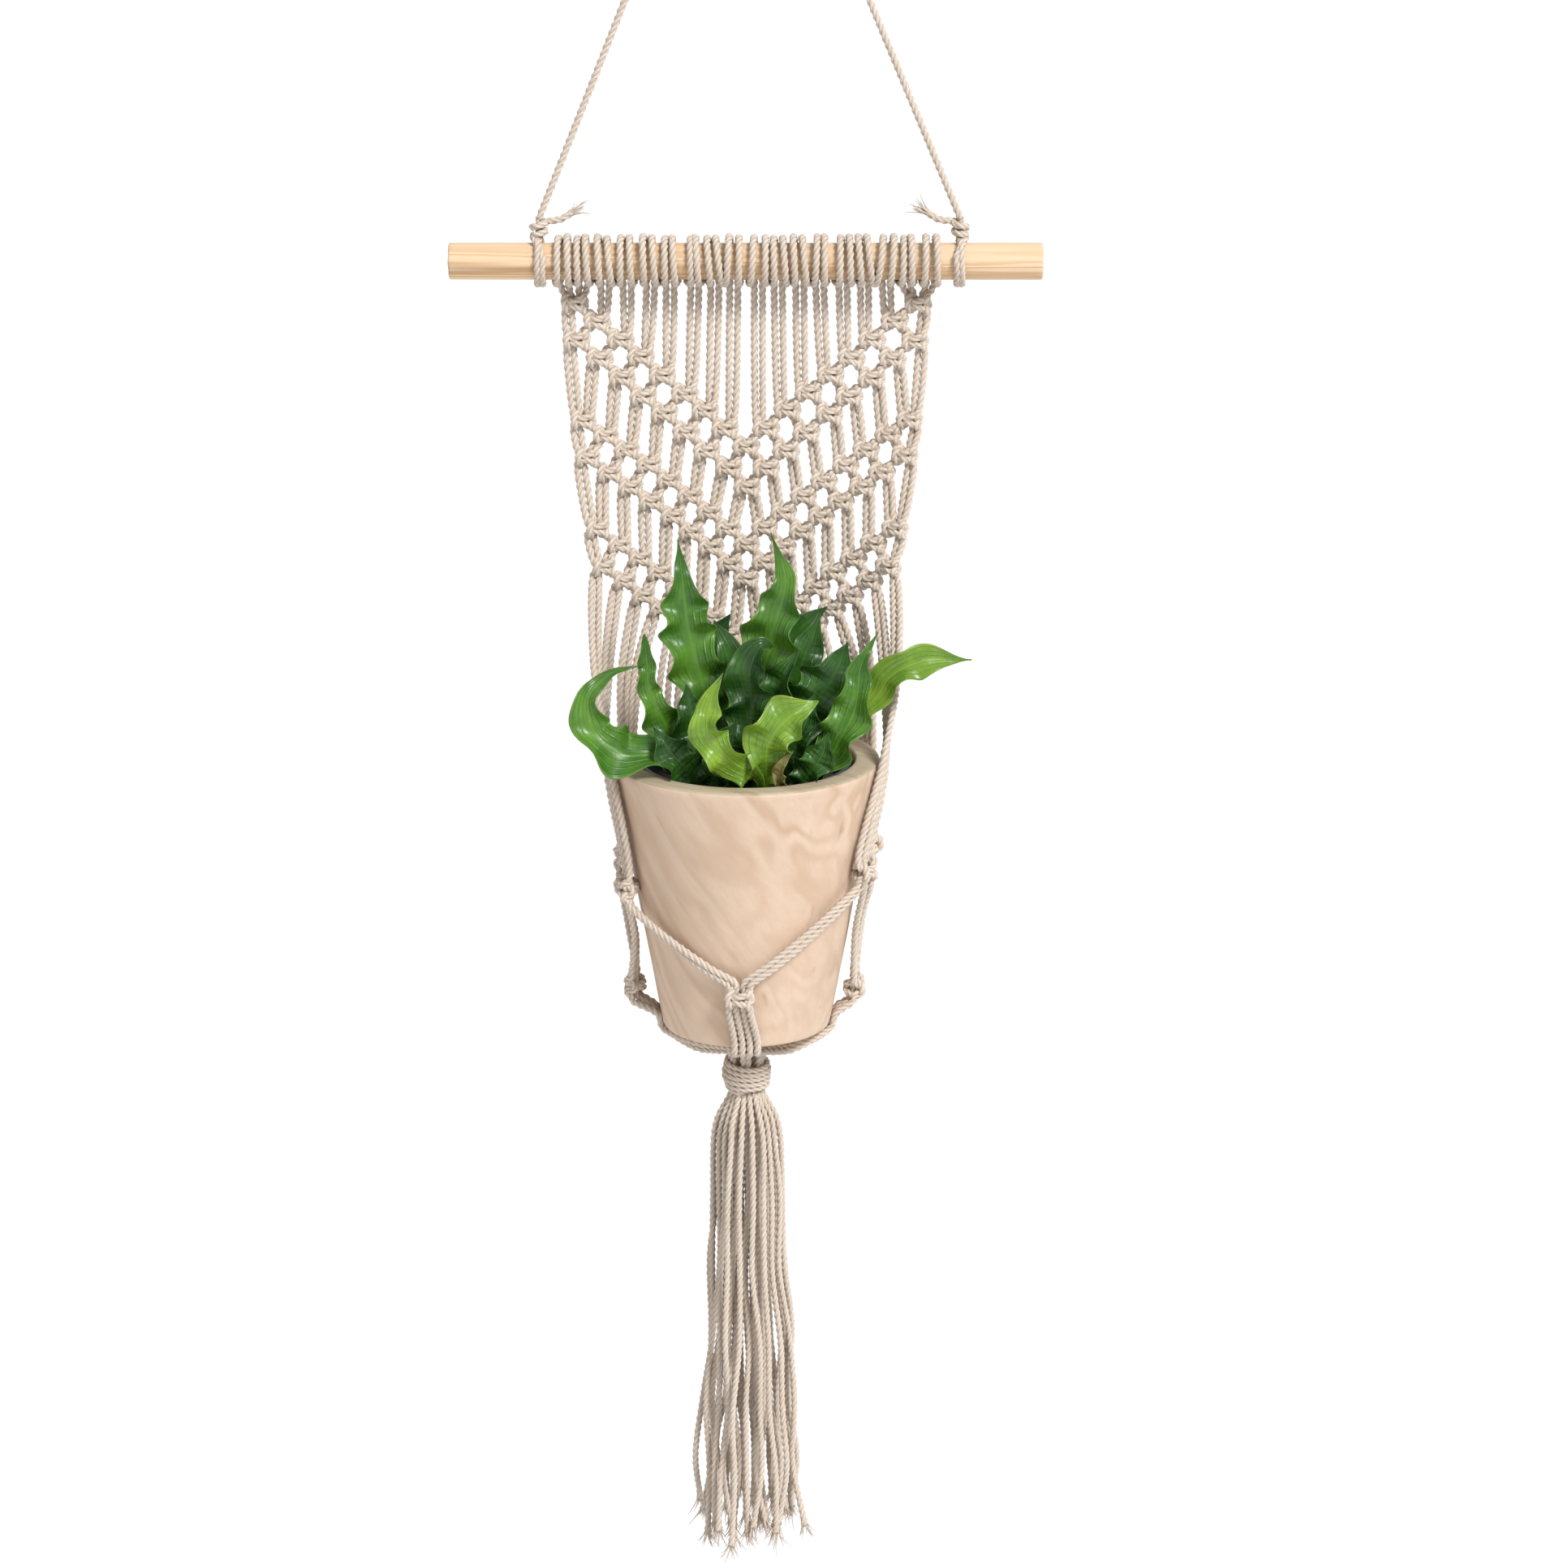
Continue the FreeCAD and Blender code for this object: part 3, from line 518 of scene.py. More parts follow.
@dataclass(frozen=True)
class LeafFinish:
    """A glossy fern leaf: a midrib and side veins over a green that fades to its edge."""

    body: Colour
    light: Colour
    edge: Colour
    roughness: float = 0.34

    def material(self, name: str) -> bpy.types.Material:
        """The leaf's material; its UV runs from root to tip and twice across the blade."""
        paint = Paint(name)
        spot = paint.place()
        parts = paint.place(by_uv=True)
        across = paint.node("ShaderNodeSeparateXYZ", {}, {0: parts}, "Y")
        along = paint.node("ShaderNodeSeparateXYZ", {}, {0: parts}, "X")
        off_rib = paint.absolute(paint.fraction(across) - 0.5) * 2.0
        rib = 1 - off_rib.between(0.02, 0.09)
        slanted = along * 60.0 - off_rib * 9.0
        vein = paint.sine(slanted * 2.6).between(0.55, 1.0) * off_rib.between(0.08, 0.25)
        blotch = paint.noise(spot, 55.0, 3.0, 0.6)
        fine = paint.noise(spot, 600.0, 3.0, 0.6)
        green = paint.blend(blotch.between(0.35, 0.7), self.body, self.light)
        green = paint.blend((rib * 0.55 + vein * 0.18).clamped(), green, self.light)
        green = paint.blend(off_rib.between(0.9, 1.0) * 0.6, green, self.edge)
        paint.set(Base_Color=green, Roughness=(fine * 0.16 + self.roughness - 0.08), Specular_IOR_Level=0.5)
        paint.set(Coat_Roughness=0.25)
        paint.relief(vein * 0.55 + fine * 0.15 + rib * 0.3, 0.5)
        return paint.material


@dataclass(frozen=True)
class PlainFinish:
    """A moulded or plated surface with slight marks."""

    base: Colour
    mark: Colour
    roughness: float
    metallic: float = 0.0
    grain: float = 900.0
    depth_mm: float = 0.03

    def material(self, name: str) -> bpy.types.Material:
        """The surface's material on object coordinates."""
        paint = Paint(name)
        spot = paint.place()
        marks = paint.noise(spot, self.grain * 0.08, 4.0, 0.6)
        grain = paint.noise(spot, self.grain, 3.0, 0.6)
        paint.set(Base_Color=paint.blend(marks.between(0.4, 0.75), self.base, self.mark))
        paint.set(Roughness=(marks * 0.2 + self.roughness - 0.1), Metallic=self.metallic)
        paint.relief(grain, self.depth_mm)
        return paint.material


COTTON = CottonFinish()
DOWEL_PINE = PineFinish((0.80, 0.62, 0.42), (0.60, 0.35, 0.17), (0.30, 0.16, 0.08),
                        (0.10, 7.0, 7.0), (0, 0, 0.8), 12.0, 52.0)
POT_PINE = PineFinish((0.68, 0.52, 0.395), (0.53, 0.365, 0.25), (0.27, 0.17, 0.10),
                      (1.0, 5.5, 5.5), (0, -56, 10), 5.0, 46.0)
RIM_PINE = PineFinish((0.55, 0.46, 0.33), (0.40, 0.31, 0.20), (0.25, 0.18, 0.11),
                      (1.0, 7.0, 7.0), (0, 0, 35), 16.0, 20.0)
DEEP_LEAF = LeafFinish((0.012, 0.055, 0.007), (0.040, 0.135, 0.014), (0.08, 0.17, 0.025))
FRESH_LEAF = LeafFinish((0.035, 0.125, 0.010), (0.105, 0.255, 0.022), (0.19, 0.30, 0.05))
YOUNG_LEAF = LeafFinish((0.095, 0.215, 0.012), (0.225, 0.375, 0.035), (0.28, 0.34, 0.07))
DRY_LEAF = LeafFinish((0.20, 0.17, 0.05), (0.30, 0.28, 0.09), (0.16, 0.10, 0.04), 0.6)
LINER_PLASTIC = PlainFinish((0.012, 0.030, 0.022), (0.02, 0.045, 0.035), 0.38)
SOIL_CRUMB = PlainFinish((0.020, 0.014, 0.010), (0.055, 0.036, 0.022), 0.95, grain=420.0, depth_mm=1.2)
BRASS = PlainFinish((0.78, 0.55, 0.25), (0.62, 0.42, 0.18), 0.28, 1.0)
FLOOR_WHITE = PlainFinish((0.93, 0.93, 0.93), (0.92, 0.92, 0.92), 0.8, grain=40.0, depth_mm=0.0)


# ---------------------------------------------------------------- cords and knots
@dataclass(frozen=True)
class Lay:
    """A twisted cord: its radius, the length of one full twist, and how deep its grooves are."""

    radius: float = 2.05
    pitch: float = 11.7
    strands: int = 3
    groove: float = 0.30
    sides: int = 12
    step: float = 1.2

    def shell(self, points: Iterable[Sequence[float]], swell: Callable[[Array], Array] | None = None,
              turn: float = 0.0) -> Shell:
        """The cord's skin along a smooth curve through the points.

        A ring of points is carried along the curve and turned as it goes, so each point
        follows one strand. The ring's radius dips by the groove between strands.

        Args:
            points: places that the cord passes through.
            swell: share of the full radius, as a function of distance from the start.
            turn: angle of the first ring.

        Returns:
            The closed skin.
        """
        line = smooth_line(points, self.step)
        return self.along(line, swell, turn)

    def along(self, line: Array, swell: Callable[[Array], Array] | None = None, turn: float = 0.0) -> Shell:
        """The cord's skin along a line that is already smooth."""
        side, other = carried_frames(line)
        along = lengths_along(line)
        share = np.arange(self.sides) / self.sides
        dip = np.abs(np.sin(math.pi * self.strands * share)) ** 1.5
        ring = self.radius * (1 - self.groove * dip)
        size = np.ones_like(along) if swell is None else swell(along)
        angle = 2 * math.pi * (share[None, :] + along[:, None] / self.pitch) + turn
        spread = ring[None, :, None] * size[:, None, None]
        grid = line[:, None, :] + spread * (
            np.cos(angle)[..., None] * side[:, None, :] + np.sin(angle)[..., None] * other[:, None, :])
        return Shell(grid, uv_size=(float(along[-1]) * MM, 1.0))


MACRAME = Lay()
TASSEL = Lay(radius=1.85, step=1.5)
FLARE_SHARE, FLARE_LENGTH = 0.28, 9.0


def mirrored(half: Sequence[tuple[float, float, float]]) -> Array:
    """A path whose lower half mirrors its upper half."""
    upper = np.array(half)
    return np.vstack([upper, upper[::-1] * (1, 1, -1)])


# The four cords of a square knot, left to right, as (right, out, up) in knot units.
KNOT_PATHS = (
    mirrored([(-1.45, -0.05, 1.05), (-1.3, 0.35, 0.62), (-0.5, 0.95, 0.32), (0.3, 1.1, 0.52),
              (0.95, 0.75, 0.74), (1.45, 0.1, 0.32)]),
    mirrored([(-0.5, 0.0, 0.8), (-0.5, -0.05, 0.3)]),
    mirrored([(0.5, 0.0, 0.8), (0.5, -0.05, 0.3)]),
    mirrored([(1.35, 0.45, 1.25), (1.15, 1.05, 0.95), (1.0, 0.75, 0.35), (0.9, 0.0, 0.2), (0.55, -0.7, 0.25),
              (-0.3, -0.95, 0.4), (-0.95, -0.3, 0.95), (-1.0, 0.35, 1.05), (-1.35, 0.95, 0.6),
              (-1.5, 1.05, 0.1)]),
)


@dataclass(frozen=True)
class SquareKnot:
    """A square knot: two cords tied round two straight ones."""

    centre: Array
    right: Array
    out: Array
    size: float

    def strand(self, place: int) -> Array:
        """The path of one cord (0 to 3 from the left), from top to bottom."""
        local = KNOT_PATHS[place] * self.size
        up = np.array([0.0, 0.0, 1.0])
        return self.centre + local[:, :1] * self.right + local[:, 1:2] * self.out + local[:, 2:] * up

    def end(self, place: int, low: bool) -> Array:
        """Where a cord enters the knot or leaves it."""
        return self.strand(place)[-1 if low else 0]


@dataclass
class KnottedPanel:
    """The panel: 36 legs and six rows of 17 square knots in three chevrons."""

    legs: int = 36
    spread: float = 195.0
    depth: float = -8.0
    curl: float = 26.0
    curl_drops: tuple[float, float] = (13.0, 163.0)
    edge_drops: tuple[float, ...] = (13.0, 85.0, 139.0, 163.0, 240.0)
    edge_spreads: tuple[float, ...] = (195.0, 187.0, 171.0, 163.0, 152.0)
    rows: tuple[tuple[float, float, float], ...] = (
        (23.0, 9.3, 3.75), (42.0, 9.7, 3.75), (82.5, 8.4, 3.55), (101.5, 8.4, 3.55), (139.0, 8.5, 3.55),
        (158.5, 8.5, 3.55))
    columns: int = 17
    axis: Array = field(default_factory=lambda: middle("dowel"))
    dowel_radius: float = field(default_factory=lambda: float(corners("dowel")[1][2] - middle("dowel")[2]))

    def spread_at(self, drop: float) -> float:
        """Distance from the first to the last leg at a drop below the dowel."""
        return float(np.interp(drop, self.edge_drops, self.edge_spreads))

    def forward(self, x: float, drop: float) -> float:
        """The panel's depth: flat in the middle, its lower corners curling forward."""
        low, high = self.curl_drops
        share = min(max(0.0, (drop - low) / (high - low)), 1.15)
        side = min(1.0, abs(x) / (self.spread_at(drop) / 2))
        return self.depth - self.curl * share ** 1.5 * side ** 3

    def knot(self, column: int, row: int) -> SquareKnot:
        """The square knot in a column (1 to 17) of a row (0 to 5), turned with the panel's curl."""
        first, step, size = self.rows[row]
        centre_column = (self.columns + 1) // 2
        drop = first + step * (centre_column - 1 - abs(column - centre_column))
        x = (column - centre_column) * self.spread_at(drop) / (self.legs - 1) * 2
        y = self.forward(x, drop)
        if abs(x) + 1 < self.spread_at(drop) / 2:
            slope = (self.forward(x + 1, drop) - self.forward(x - 1, drop)) / 2
        else:
            inward = math.copysign(2, x)
            slope = (self.forward(x, drop) - self.forward(x - inward, drop)) / inward
        right = unit(np.array([1.0, 0.75 * slope, 0.0]))
        out = np.array([right[1], -right[0], 0.0])
        chance = np.random.default_rng(100 * row + column)
        jitter = chance.normal(0, 0.3, 3) * (1, 0.5, 1)
        tilt = chance.normal(0, 0.05)
        right = unit(right + np.array([0, 0, tilt]))
        return SquareKnot(np.array([x, y, self.axis[2] - drop]) + jitter, right, out, size)

    def knots_of(self, pair: int, side: int, row: int) -> list[tuple[int, int]]:
        """The knots of a row that a pair's leg passes, from above: (column, place)."""
        centre_column = (self.columns + 1) // 2
        order = (pair - 1, pair) if pair <= centre_column else (pair, pair - 1)
        return [(c, side + (0 if c == pair else 2)) for c in order if 1 <= c <= self.columns]

    def top(self, index: int) -> Array:
        """Where a leg leaves the dowel."""
        x = (index - (self.legs - 1) / 2) * self.spread / (self.legs - 1)
        return np.array([x, self.depth, self.axis[2] - self.dowel_radius - 2.0])

    def fold(self, index: int) -> Array:
        """A leg from the middle of the bight, round the dowel and down through the bight.

        Each point is given by how far it lies outside the pair's middle, its angle about the
        dowel from the wall side upwards, and its distance from the dowel's axis.
        """
        sign = -1.0 if index % 2 == 0 else 1.0
        pair_x = (self.top(index - index % 2)[0] + self.top(index - index % 2 + 1)[0]) / 2
        chance = np.random.default_rng(700 + index)
        lean = chance.normal(0, 0.5)
        hang = chance.uniform(0.2, 2.4)
        pair_chance = np.random.default_rng(800 + index // 2)
        pair_x = pair_x + pair_chance.normal(0, 0.85)
        tilt = pair_chance.normal(0, 0.7)
        on_dowel = self.dowel_radius + 1.95
        steps = np.array([
            (0.0, -18, on_dowel + 3.4), (2.6, -22, on_dowel + 3.2), (4.1, -40, on_dowel + 2.0),
            (4.1, -65, on_dowel + 0.6), (3.8, -95, on_dowel), (3.3, -135, on_dowel), (3.0, -180, on_dowel),
            (2.8, -225, on_dowel), (2.5, -270, on_dowel), (2.2, -315, on_dowel), (2.0, -350, on_dowel),
            (1.95, -378, on_dowel - 0.1)])
        steps[4:10, 0] = steps[4:10, 0] * 0.84 + lean
        steps[6:9, 2] += (0.3 * hang, hang, 0.5 * hang)
        angle = np.radians(steps[:, 1])
        x = pair_x + sign * steps[:, 0] + tilt * np.sin(angle)
        y = self.axis[1] + steps[:, 2] * np.cos(angle)
        z = self.axis[2] + steps[:, 2] * np.sin(angle)
        hanging = [(pair_x + sign * 2.0, self.depth, self.axis[2] - 9.0),
                   (pair_x + sign * 2.1, self.depth, self.axis[2] - 14.0)]
        return np.vstack([np.stack([x, y, z], axis=1), hanging])

    def leg(self, index: int) -> Array:
        """A leg from the bight down to the last knot of the panel."""
        pair, side = index // 2 + 1, index % 2
        parts = [self.fold(index)]
        for row in range(len(self.rows)):
            for column, place in self.knots_of(pair, side, row):
                parts.append(self.knot(column, row).strand(place))
        return np.vstack(parts)


@dataclass
class Cradle:
    """The cords below the panel: straps, cradle knots, and the runs to the neck and the wrap."""

    foot_radius: float = 44.0
    knot_size: float = 4.0
    cord_pitch: float = 4.0
    cord_radius: float = 2.05
    lead: float = 2.0
    strap_bow: float = 3.0
    back_y: float = -18.0
    back_rim_pitch: float = 5.0
    knot_angles: tuple[tuple[str, float], ...] = (
        ("front_left_knot", -70.0), ("front_right_knot", 66.0), ("back_left_knot", -125.0),
        ("back_right_knot", 125.0), ("front_knot", -3.0), ("left_knot", -92.0), ("right_knot", 92.0),
        ("back_knot", 180.0))

    def __post_init__(self) -> None:
        """Read the pot, the wrap and the knots' places from the frame."""
        low, high = corners("wooden_pot")
        self.pot_x, self.pot_y, _ = (low + high) / 2
        self.rim_z, self.foot_z = float(high[2]), float(low[2])
        self.rim_radius = float(high[0] - low[0]) / 2
        wrap_low, wrap_high = corners("gathering_wrap")
        self.wrap_top, self.wrap_foot = float(wrap_high[2]), float(wrap_low[2])
        self.knots = {}
        for name, angle in self.knot_angles:
            turn = math.radians(angle)
            right = np.array([math.cos(turn), math.sin(turn), 0.0])
            out = np.array([math.sin(turn), -math.cos(turn), 0.0])
            size = self.knot_size * (1.08 if angle in (-70.0, 66.0, -125.0, 125.0) else 1.0)
            self.knots[name] = SquareKnot(middle(name), right, out, size)

    def pot_radius(self, z: float) -> float:
        """Outer radius of the pot at a height."""
        share = min(max((self.rim_z - z) / (self.rim_z - self.foot_z), 0.0), 1.0)
        return self.rim_radius + (self.foot_radius - self.rim_radius) * share

    def around(self, angle: float, z: float, off: float) -> Array:
        """A point off the pot's wall, at an angle from the front towards +X in degrees."""
        turn = math.radians(angle)
        reach = self.pot_radius(z) + off
        return np.array([reach * math.sin(turn), self.pot_y - reach * math.cos(turn), z])

    def angle_of(self, point: Array) -> float:
        """Angle of a point round the pot, from the front towards +X, in degrees."""
        return math.degrees(math.atan2(point[0], self.pot_y - point[1]))

    def strap(self, starts: Array, cord: int, name: str, rim_angle: float, rim_off: float) -> list[Array]:
        """One of a strap's four cords, from the panel past the pot's rim to its knot.

        Args:
            starts: where the strap's four cords leave the panel.
            cord: 1 to 4, from the strap's first leg.
            name: the cradle knot.
            rim_angle: angle round the pot where the strap passes the rim.
            rim_off: how far off the rim it passes.

        Returns:
            The points between the panel and the knot.
        """
        turn = math.radians(rim_angle)
        outward = np.array([math.sin(turn), -math.cos(turn), 0.0])
        rim = self.around(rim_angle, self.rim_z, rim_off)
        start = starts.mean(0)
        across = unit(np.cross(outward, unit(self.knots[name].centre - start)))
        if across @ np.array([math.cos(turn), math.sin(turn), 0.0]) < 0:
            across = -across
        half_across = unit(across - np.array([1.0, 0.0, 0.0]))
        half = (start + rim) / 2 + outward * self.strap_bow
        place = (2.5 - cord) * self.cord_pitch
        return [half + half_across * place, rim + across * place]

    def pair_run(self, upper: str, upper_place: int, lower: str, lower_place: int, corners_on_pot: int,
                 trails: bool) -> list[Array]:
        """One cord of a pair, from an upper knot to a lower one round the pot.

        Args:
            upper: name of the upper knot.
            upper_place: the cord's place in it, 0 to 3 from the left.
            lower: name of the lower knot.
            lower_place: the cord's place in it.
            corners_on_pot: number of points that follow the pot.
            trails: whether this cord is the lower one of the pair.

        Returns:
            The points between the knots.
        """
        start = self.knots[upper].end(upper_place, True)
        end = self.knots[lower].end(lower_place, False)
        high = start - (0, 0, self.lead + (2.2 if trails else 0))
        low = end + (0, 0, self.lead + (0 if trails else 2.2))
        high_angle = self.angle_of(high)
        turn = (self.angle_of(low) - high_angle + 180.0) % 360.0 - 180.0
        offs = [math.hypot(p[0], p[1] - self.pot_y) - self.pot_radius(p[2]) for p in (high, low)]
        route = [high]
        for number in range(1, corners_on_pot + 1):
            share = number / (corners_on_pot + 1)
            slack = (1 - share) * offs[0] + share * offs[1]
            off = max(self.cord_radius + 0.4, slack - 3.0 * math.sin(math.pi * share))
            route.append(self.around(high_angle + share * turn, high[2] + share * (low[2] - high[2]), off))
        return route + [low]

    def gather(self, angle: float, rank: int) -> list[Array]:
        """A cord's run over the neck and down into the wrap.

        Args:
            angle: the direction that it comes from, in degrees.
            rank: its place in the order round the neck, 0 to 35.

        Returns:
            Points above, at and inside the wrap.
        """
        even = -180.0 + 10.0 * (rank + 0.5)
        settled = angle + 0.6 * ((even - angle + 180.0) % 360.0 - 180.0)
        reach = (10.4, 7.4, 10.4, 5.0)[rank % 4]
        inner = (7.9, 4.6, 7.9, 2.0)[rank % 4]

        def spot(at_angle: float, radius: float, z: float) -> Array:
            """A point about the pot's axis."""
            turn = math.radians(at_angle)
            return np.array([radius * math.sin(turn), self.pot_y - radius * math.cos(turn), z])

        top = self.wrap_top
        lift = (0.0, 1.6, 0.0, 3.0)[rank % 4]
        if 60.0 < abs(angle) < 120.0:
            angle *= 0.64
            lift -= 2.6
        between = 0.6 * angle + 0.4 * settled
        return [spot(angle, 31.0, top + 12.5 + lift), spot(between, 19.0, top + 8.5 + lift),
                spot(settled, reach, top + 3.5), spot(settled, inner, top - 3.0),
                spot(settled, inner, top - 12.0)]

    def base_run(self, name: str, place: int, angle: float) -> list[Array]:
        """A cord from a low knot, round the edge of the pot's foot."""
        turn = math.radians(angle)
        right = np.array([math.cos(turn), math.sin(turn), 0.0])
        outward = np.array([math.sin(turn), -math.cos(turn), 0.0])
        across = right * (place - 1.5) * 3.9
        axis = np.array([0.0, self.pot_y, 0.0])
        reach = self.foot_radius + self.cord_radius
        edge = axis + outward * (reach + 0.5) + across + (0, 0, self.foot_z + 5.0)
        corner = axis + outward * (reach - 2.0) + across + (0, 0, self.foot_z - self.cord_radius - 0.3)
        return [self.knots[name].end(place, True) - (0, 0, 2.0), edge, corner]

    def back_run(self, index: int, legs: int) -> list[Array]:
        """One of the cords that hang from the panel behind the pot."""
        place = index - (legs - 1) / 2
        rim_x = place * self.back_rim_pitch
        rim_y = max(self.pot_y + math.sqrt((self.rim_radius + 3.4) ** 2 - rim_x ** 2), self.back_y)
        foot_x = place * 3.6
        foot_y = self.pot_y + math.sqrt((self.foot_radius + 2.9) ** 2 - foot_x ** 2)
        corner_y = self.pot_y + (foot_y - self.pot_y) * 0.93
        return [np.array([rim_x, rim_y, self.rim_z + 6.0]), np.array([foot_x, foot_y, self.foot_z + 4.0]),
                np.array([foot_x * 0.93, corner_y, self.foot_z - self.cord_radius - 0.2])]


@dataclass
class MacrameCords:
    """The 18 folded cords: each one runs from its wrap up to the dowel and back down."""

    panel: KnottedPanel
    cradle: Cradle
    joint_bend: float = 5.5

    def lower_part(self, index: int, tops: Array) -> tuple[list[Array], float]:
        """A leg's route below the panel.

        Args:
            index: the leg, 0 to 35 from the left.
            tops: where all legs leave the panel.

        Returns:
            Points down to the pot's foot, and the angle at which the leg nears the neck.
        """
        cradle, last = self.cradle, self.panel.legs - 1
        straps = {0: ("front_left_knot", -76.0, 3.2), 4: ("back_left_knot", -125.0, 8.0),
                  last - 3: ("front_right_knot", 80.0, 3.2), last - 7: ("back_right_knot", 125.0, 8.0)}
        first = next((f for f in straps if f <= index < f + 4), None)
        if first is None:
            points = cradle.back_run(index, self.panel.legs)
            return points, cradle.angle_of(points[-1])
        name, rim_angle, rim_off = straps[first]
        cord = index - first + 1
        points = cradle.strap(tops[first:first + 4], cord, name, rim_angle, rim_off)
        points += list(cradle.knots[name].strand(4 - cord))
        lower, lower_cord, number = self.next_knot(name, cord)
        trailing = self.trails(name, lower, cord)
        points += cradle.pair_run(name, 4 - cord, lower, 4 - lower_cord, number, trailing)
        points += list(cradle.knots[lower].strand(4 - lower_cord))
        angle = {"front_knot": 0.0, "left_knot": -90.0, "right_knot": 90.0, "back_knot": 180.0}[lower]
        points += cradle.base_run(lower, 4 - lower_cord, angle)
        return points, cradle.angle_of(points[-1])

    @staticmethod
    def next_knot(name: str, cord: int) -> tuple[str, int, int]:
        """The lower knot that a cord (1 to 4) of an upper one goes to, its place there, and its corners."""
        table = {
            "front_left_knot": (("front_knot", 2, 4), ("left_knot", -2, 1)),
            "front_right_knot": (("right_knot", 2, 1), ("front_knot", -2, 4)),
            "back_left_knot": (("left_knot", 2, 1), ("back_knot", -2, 3)),
            "back_right_knot": (("back_knot", 2, 2), ("right_knot", -2, 1)),
        }
        lower, shift, number = table[name][0 if cord <= 2 else 1]
        return lower, cord + shift, number

    def trails(self, upper: str, lower: str, cord: int) -> bool:
        """Whether a cord is the lower one of its pair on the way to the lower knot."""
        start, end = self.cradle.knots[upper].centre, self.cradle.knots[lower].centre
        turn = (self.cradle.angle_of(end) - self.cradle.angle_of(start) + 180.0) % 360.0 - 180.0
        return (cord % 2 == 0) == (turn > 0)

    def build(self, material: bpy.types.Material) -> list[bpy.types.Object]:
        """Make the 18 cords.

        Args:
            material: the cotton.

        Returns:
            The cords from left to right.
        """
        legs = [self.panel.leg(index) for index in range(self.panel.legs)]
        tops = np.array([leg[-1] for leg in legs])
        lower = [self.lower_part(index, tops) for index in range(self.panel.legs)]
        ranks = np.argsort(np.argsort([angle for _, angle in lower]))
        routes = []
        for leg, (points, angle), rank in zip(legs, lower, ranks):
            routes.append(np.vstack([leg, points, self.cradle.gather(angle, int(rank))]))
        made = []
        for pair in range(self.panel.legs // 2):
            left, right = routes[2 * pair], routes[2 * pair + 1]
            whole = np.vstack([left[::-1], right[1:]])
            shell = MACRAME.shell(whole, turn=pair * 0.9)
            length = lengths_along(smooth_line(whole, MACRAME.step))[-1]
            LOG.info("macrame cord %d: %.0f mm", pair + 1, length)
            made.append(make_piece(f"macrame_cord_{pair + 1:02d}", [shell], material, ""))
        for cord in made:
            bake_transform(cord)
        plain = {"dowel"}
        stood_for = [node for node in frame["record"]["behaviour"]["bodies"]["panel"] if node not in plain]
        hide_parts(*stood_for)
        return made


# ---------------------------------------------------------------- the hanging cord and its hitches
def drawn_route(points: Sequence[Sequence[float]]) -> Array:
    """The line that a cord's control points give, as a NURBS curve of order 3, in millimetres."""
    data = bpy.data.curves.new("route", "CURVE")
    data.dimensions = "3D"
    data.resolution_u = 24
    spline = data.splines.new("NURBS")
    spline.points.add(len(points) - 1)
    spline.points.foreach_set("co", np.c_[np.asarray(points), np.ones(len(points))].ravel())
    spline.order_u = 3
    spline.use_endpoint_u = True
    holder = bpy.data.objects.new("route", data)
    bpy.context.scene.collection.objects.link(holder)
    bpy.context.view_layer.update()
    mesh = bpy.data.meshes.new_from_object(holder.evaluated_get(bpy.context.evaluated_depsgraph_get()))
    line = np.empty(len(mesh.vertices) * 3, np.float32)
    mesh.vertices.foreach_get("co", line)
    bpy.data.objects.remove(holder)
    bpy.data.curves.remove(data)
    bpy.data.meshes.remove(mesh)
    return line.reshape(-1, 3).astype(float)


@dataclass
class FrayedEnd:
    """A tuft of loose yarns at a cord's cut end: thin tapering fibres that bend apart."""

    fibres: int = 12
    length: float = 12.0
    spread: float = 0.42
    radius: float = 0.42

    def shells(self, tip: Array, way: Array, seed: int, start_radius: float = 1.3) -> list[Shell]:
        """The fibres of one end.

        Args:
            tip: where the cord ends.
            way: the cord's direction there.
            seed: picks the tuft.
            start_radius: how far from the cord's middle the fibres start.

        Returns:
            One thin closed skin per fibre.
        """
        chance = np.random.default_rng(seed)
        way = unit(way)
        side = unit(np.cross(way, (0.3, 1.0, 0.2)))
        other = np.cross(way, side)
        made = []
        share = np.linspace(0, 1, 7)[:, None]
        for number in range(self.fibres):
            angle = 2 * math.pi * number / self.fibres + chance.uniform(-0.3, 0.3)
            out = math.cos(angle) * side + math.sin(angle) * other
            reach = self.length * chance.uniform(0.65, 1.1)
            apart = self.spread * chance.uniform(0.2, 1.3) * reach
            bend = chance.normal(0, 0.12 * reach, 3)
            start = tip + out * start_radius * chance.uniform(0.3, 1.0) - way * 3.5
            line = start + way * reach * share + out * apart * share ** 1.8 + bend * share ** 2.2
            line_side, line_other = carried_frames(line)
            turn = np.arange(5) / 5 * 2 * math.pi
            thin = self.radius * (1.15 - 0.85 * share ** 1.5)[:, :, None]
            ring = (np.cos(turn)[None, :, None] * line_side[:, None]
                    + np.sin(turn)[None, :, None] * line_other[:, None])
            made.append(Shell(line[:, None] + thin * ring, uv_size=(reach * MM, 1.0)))
        return made


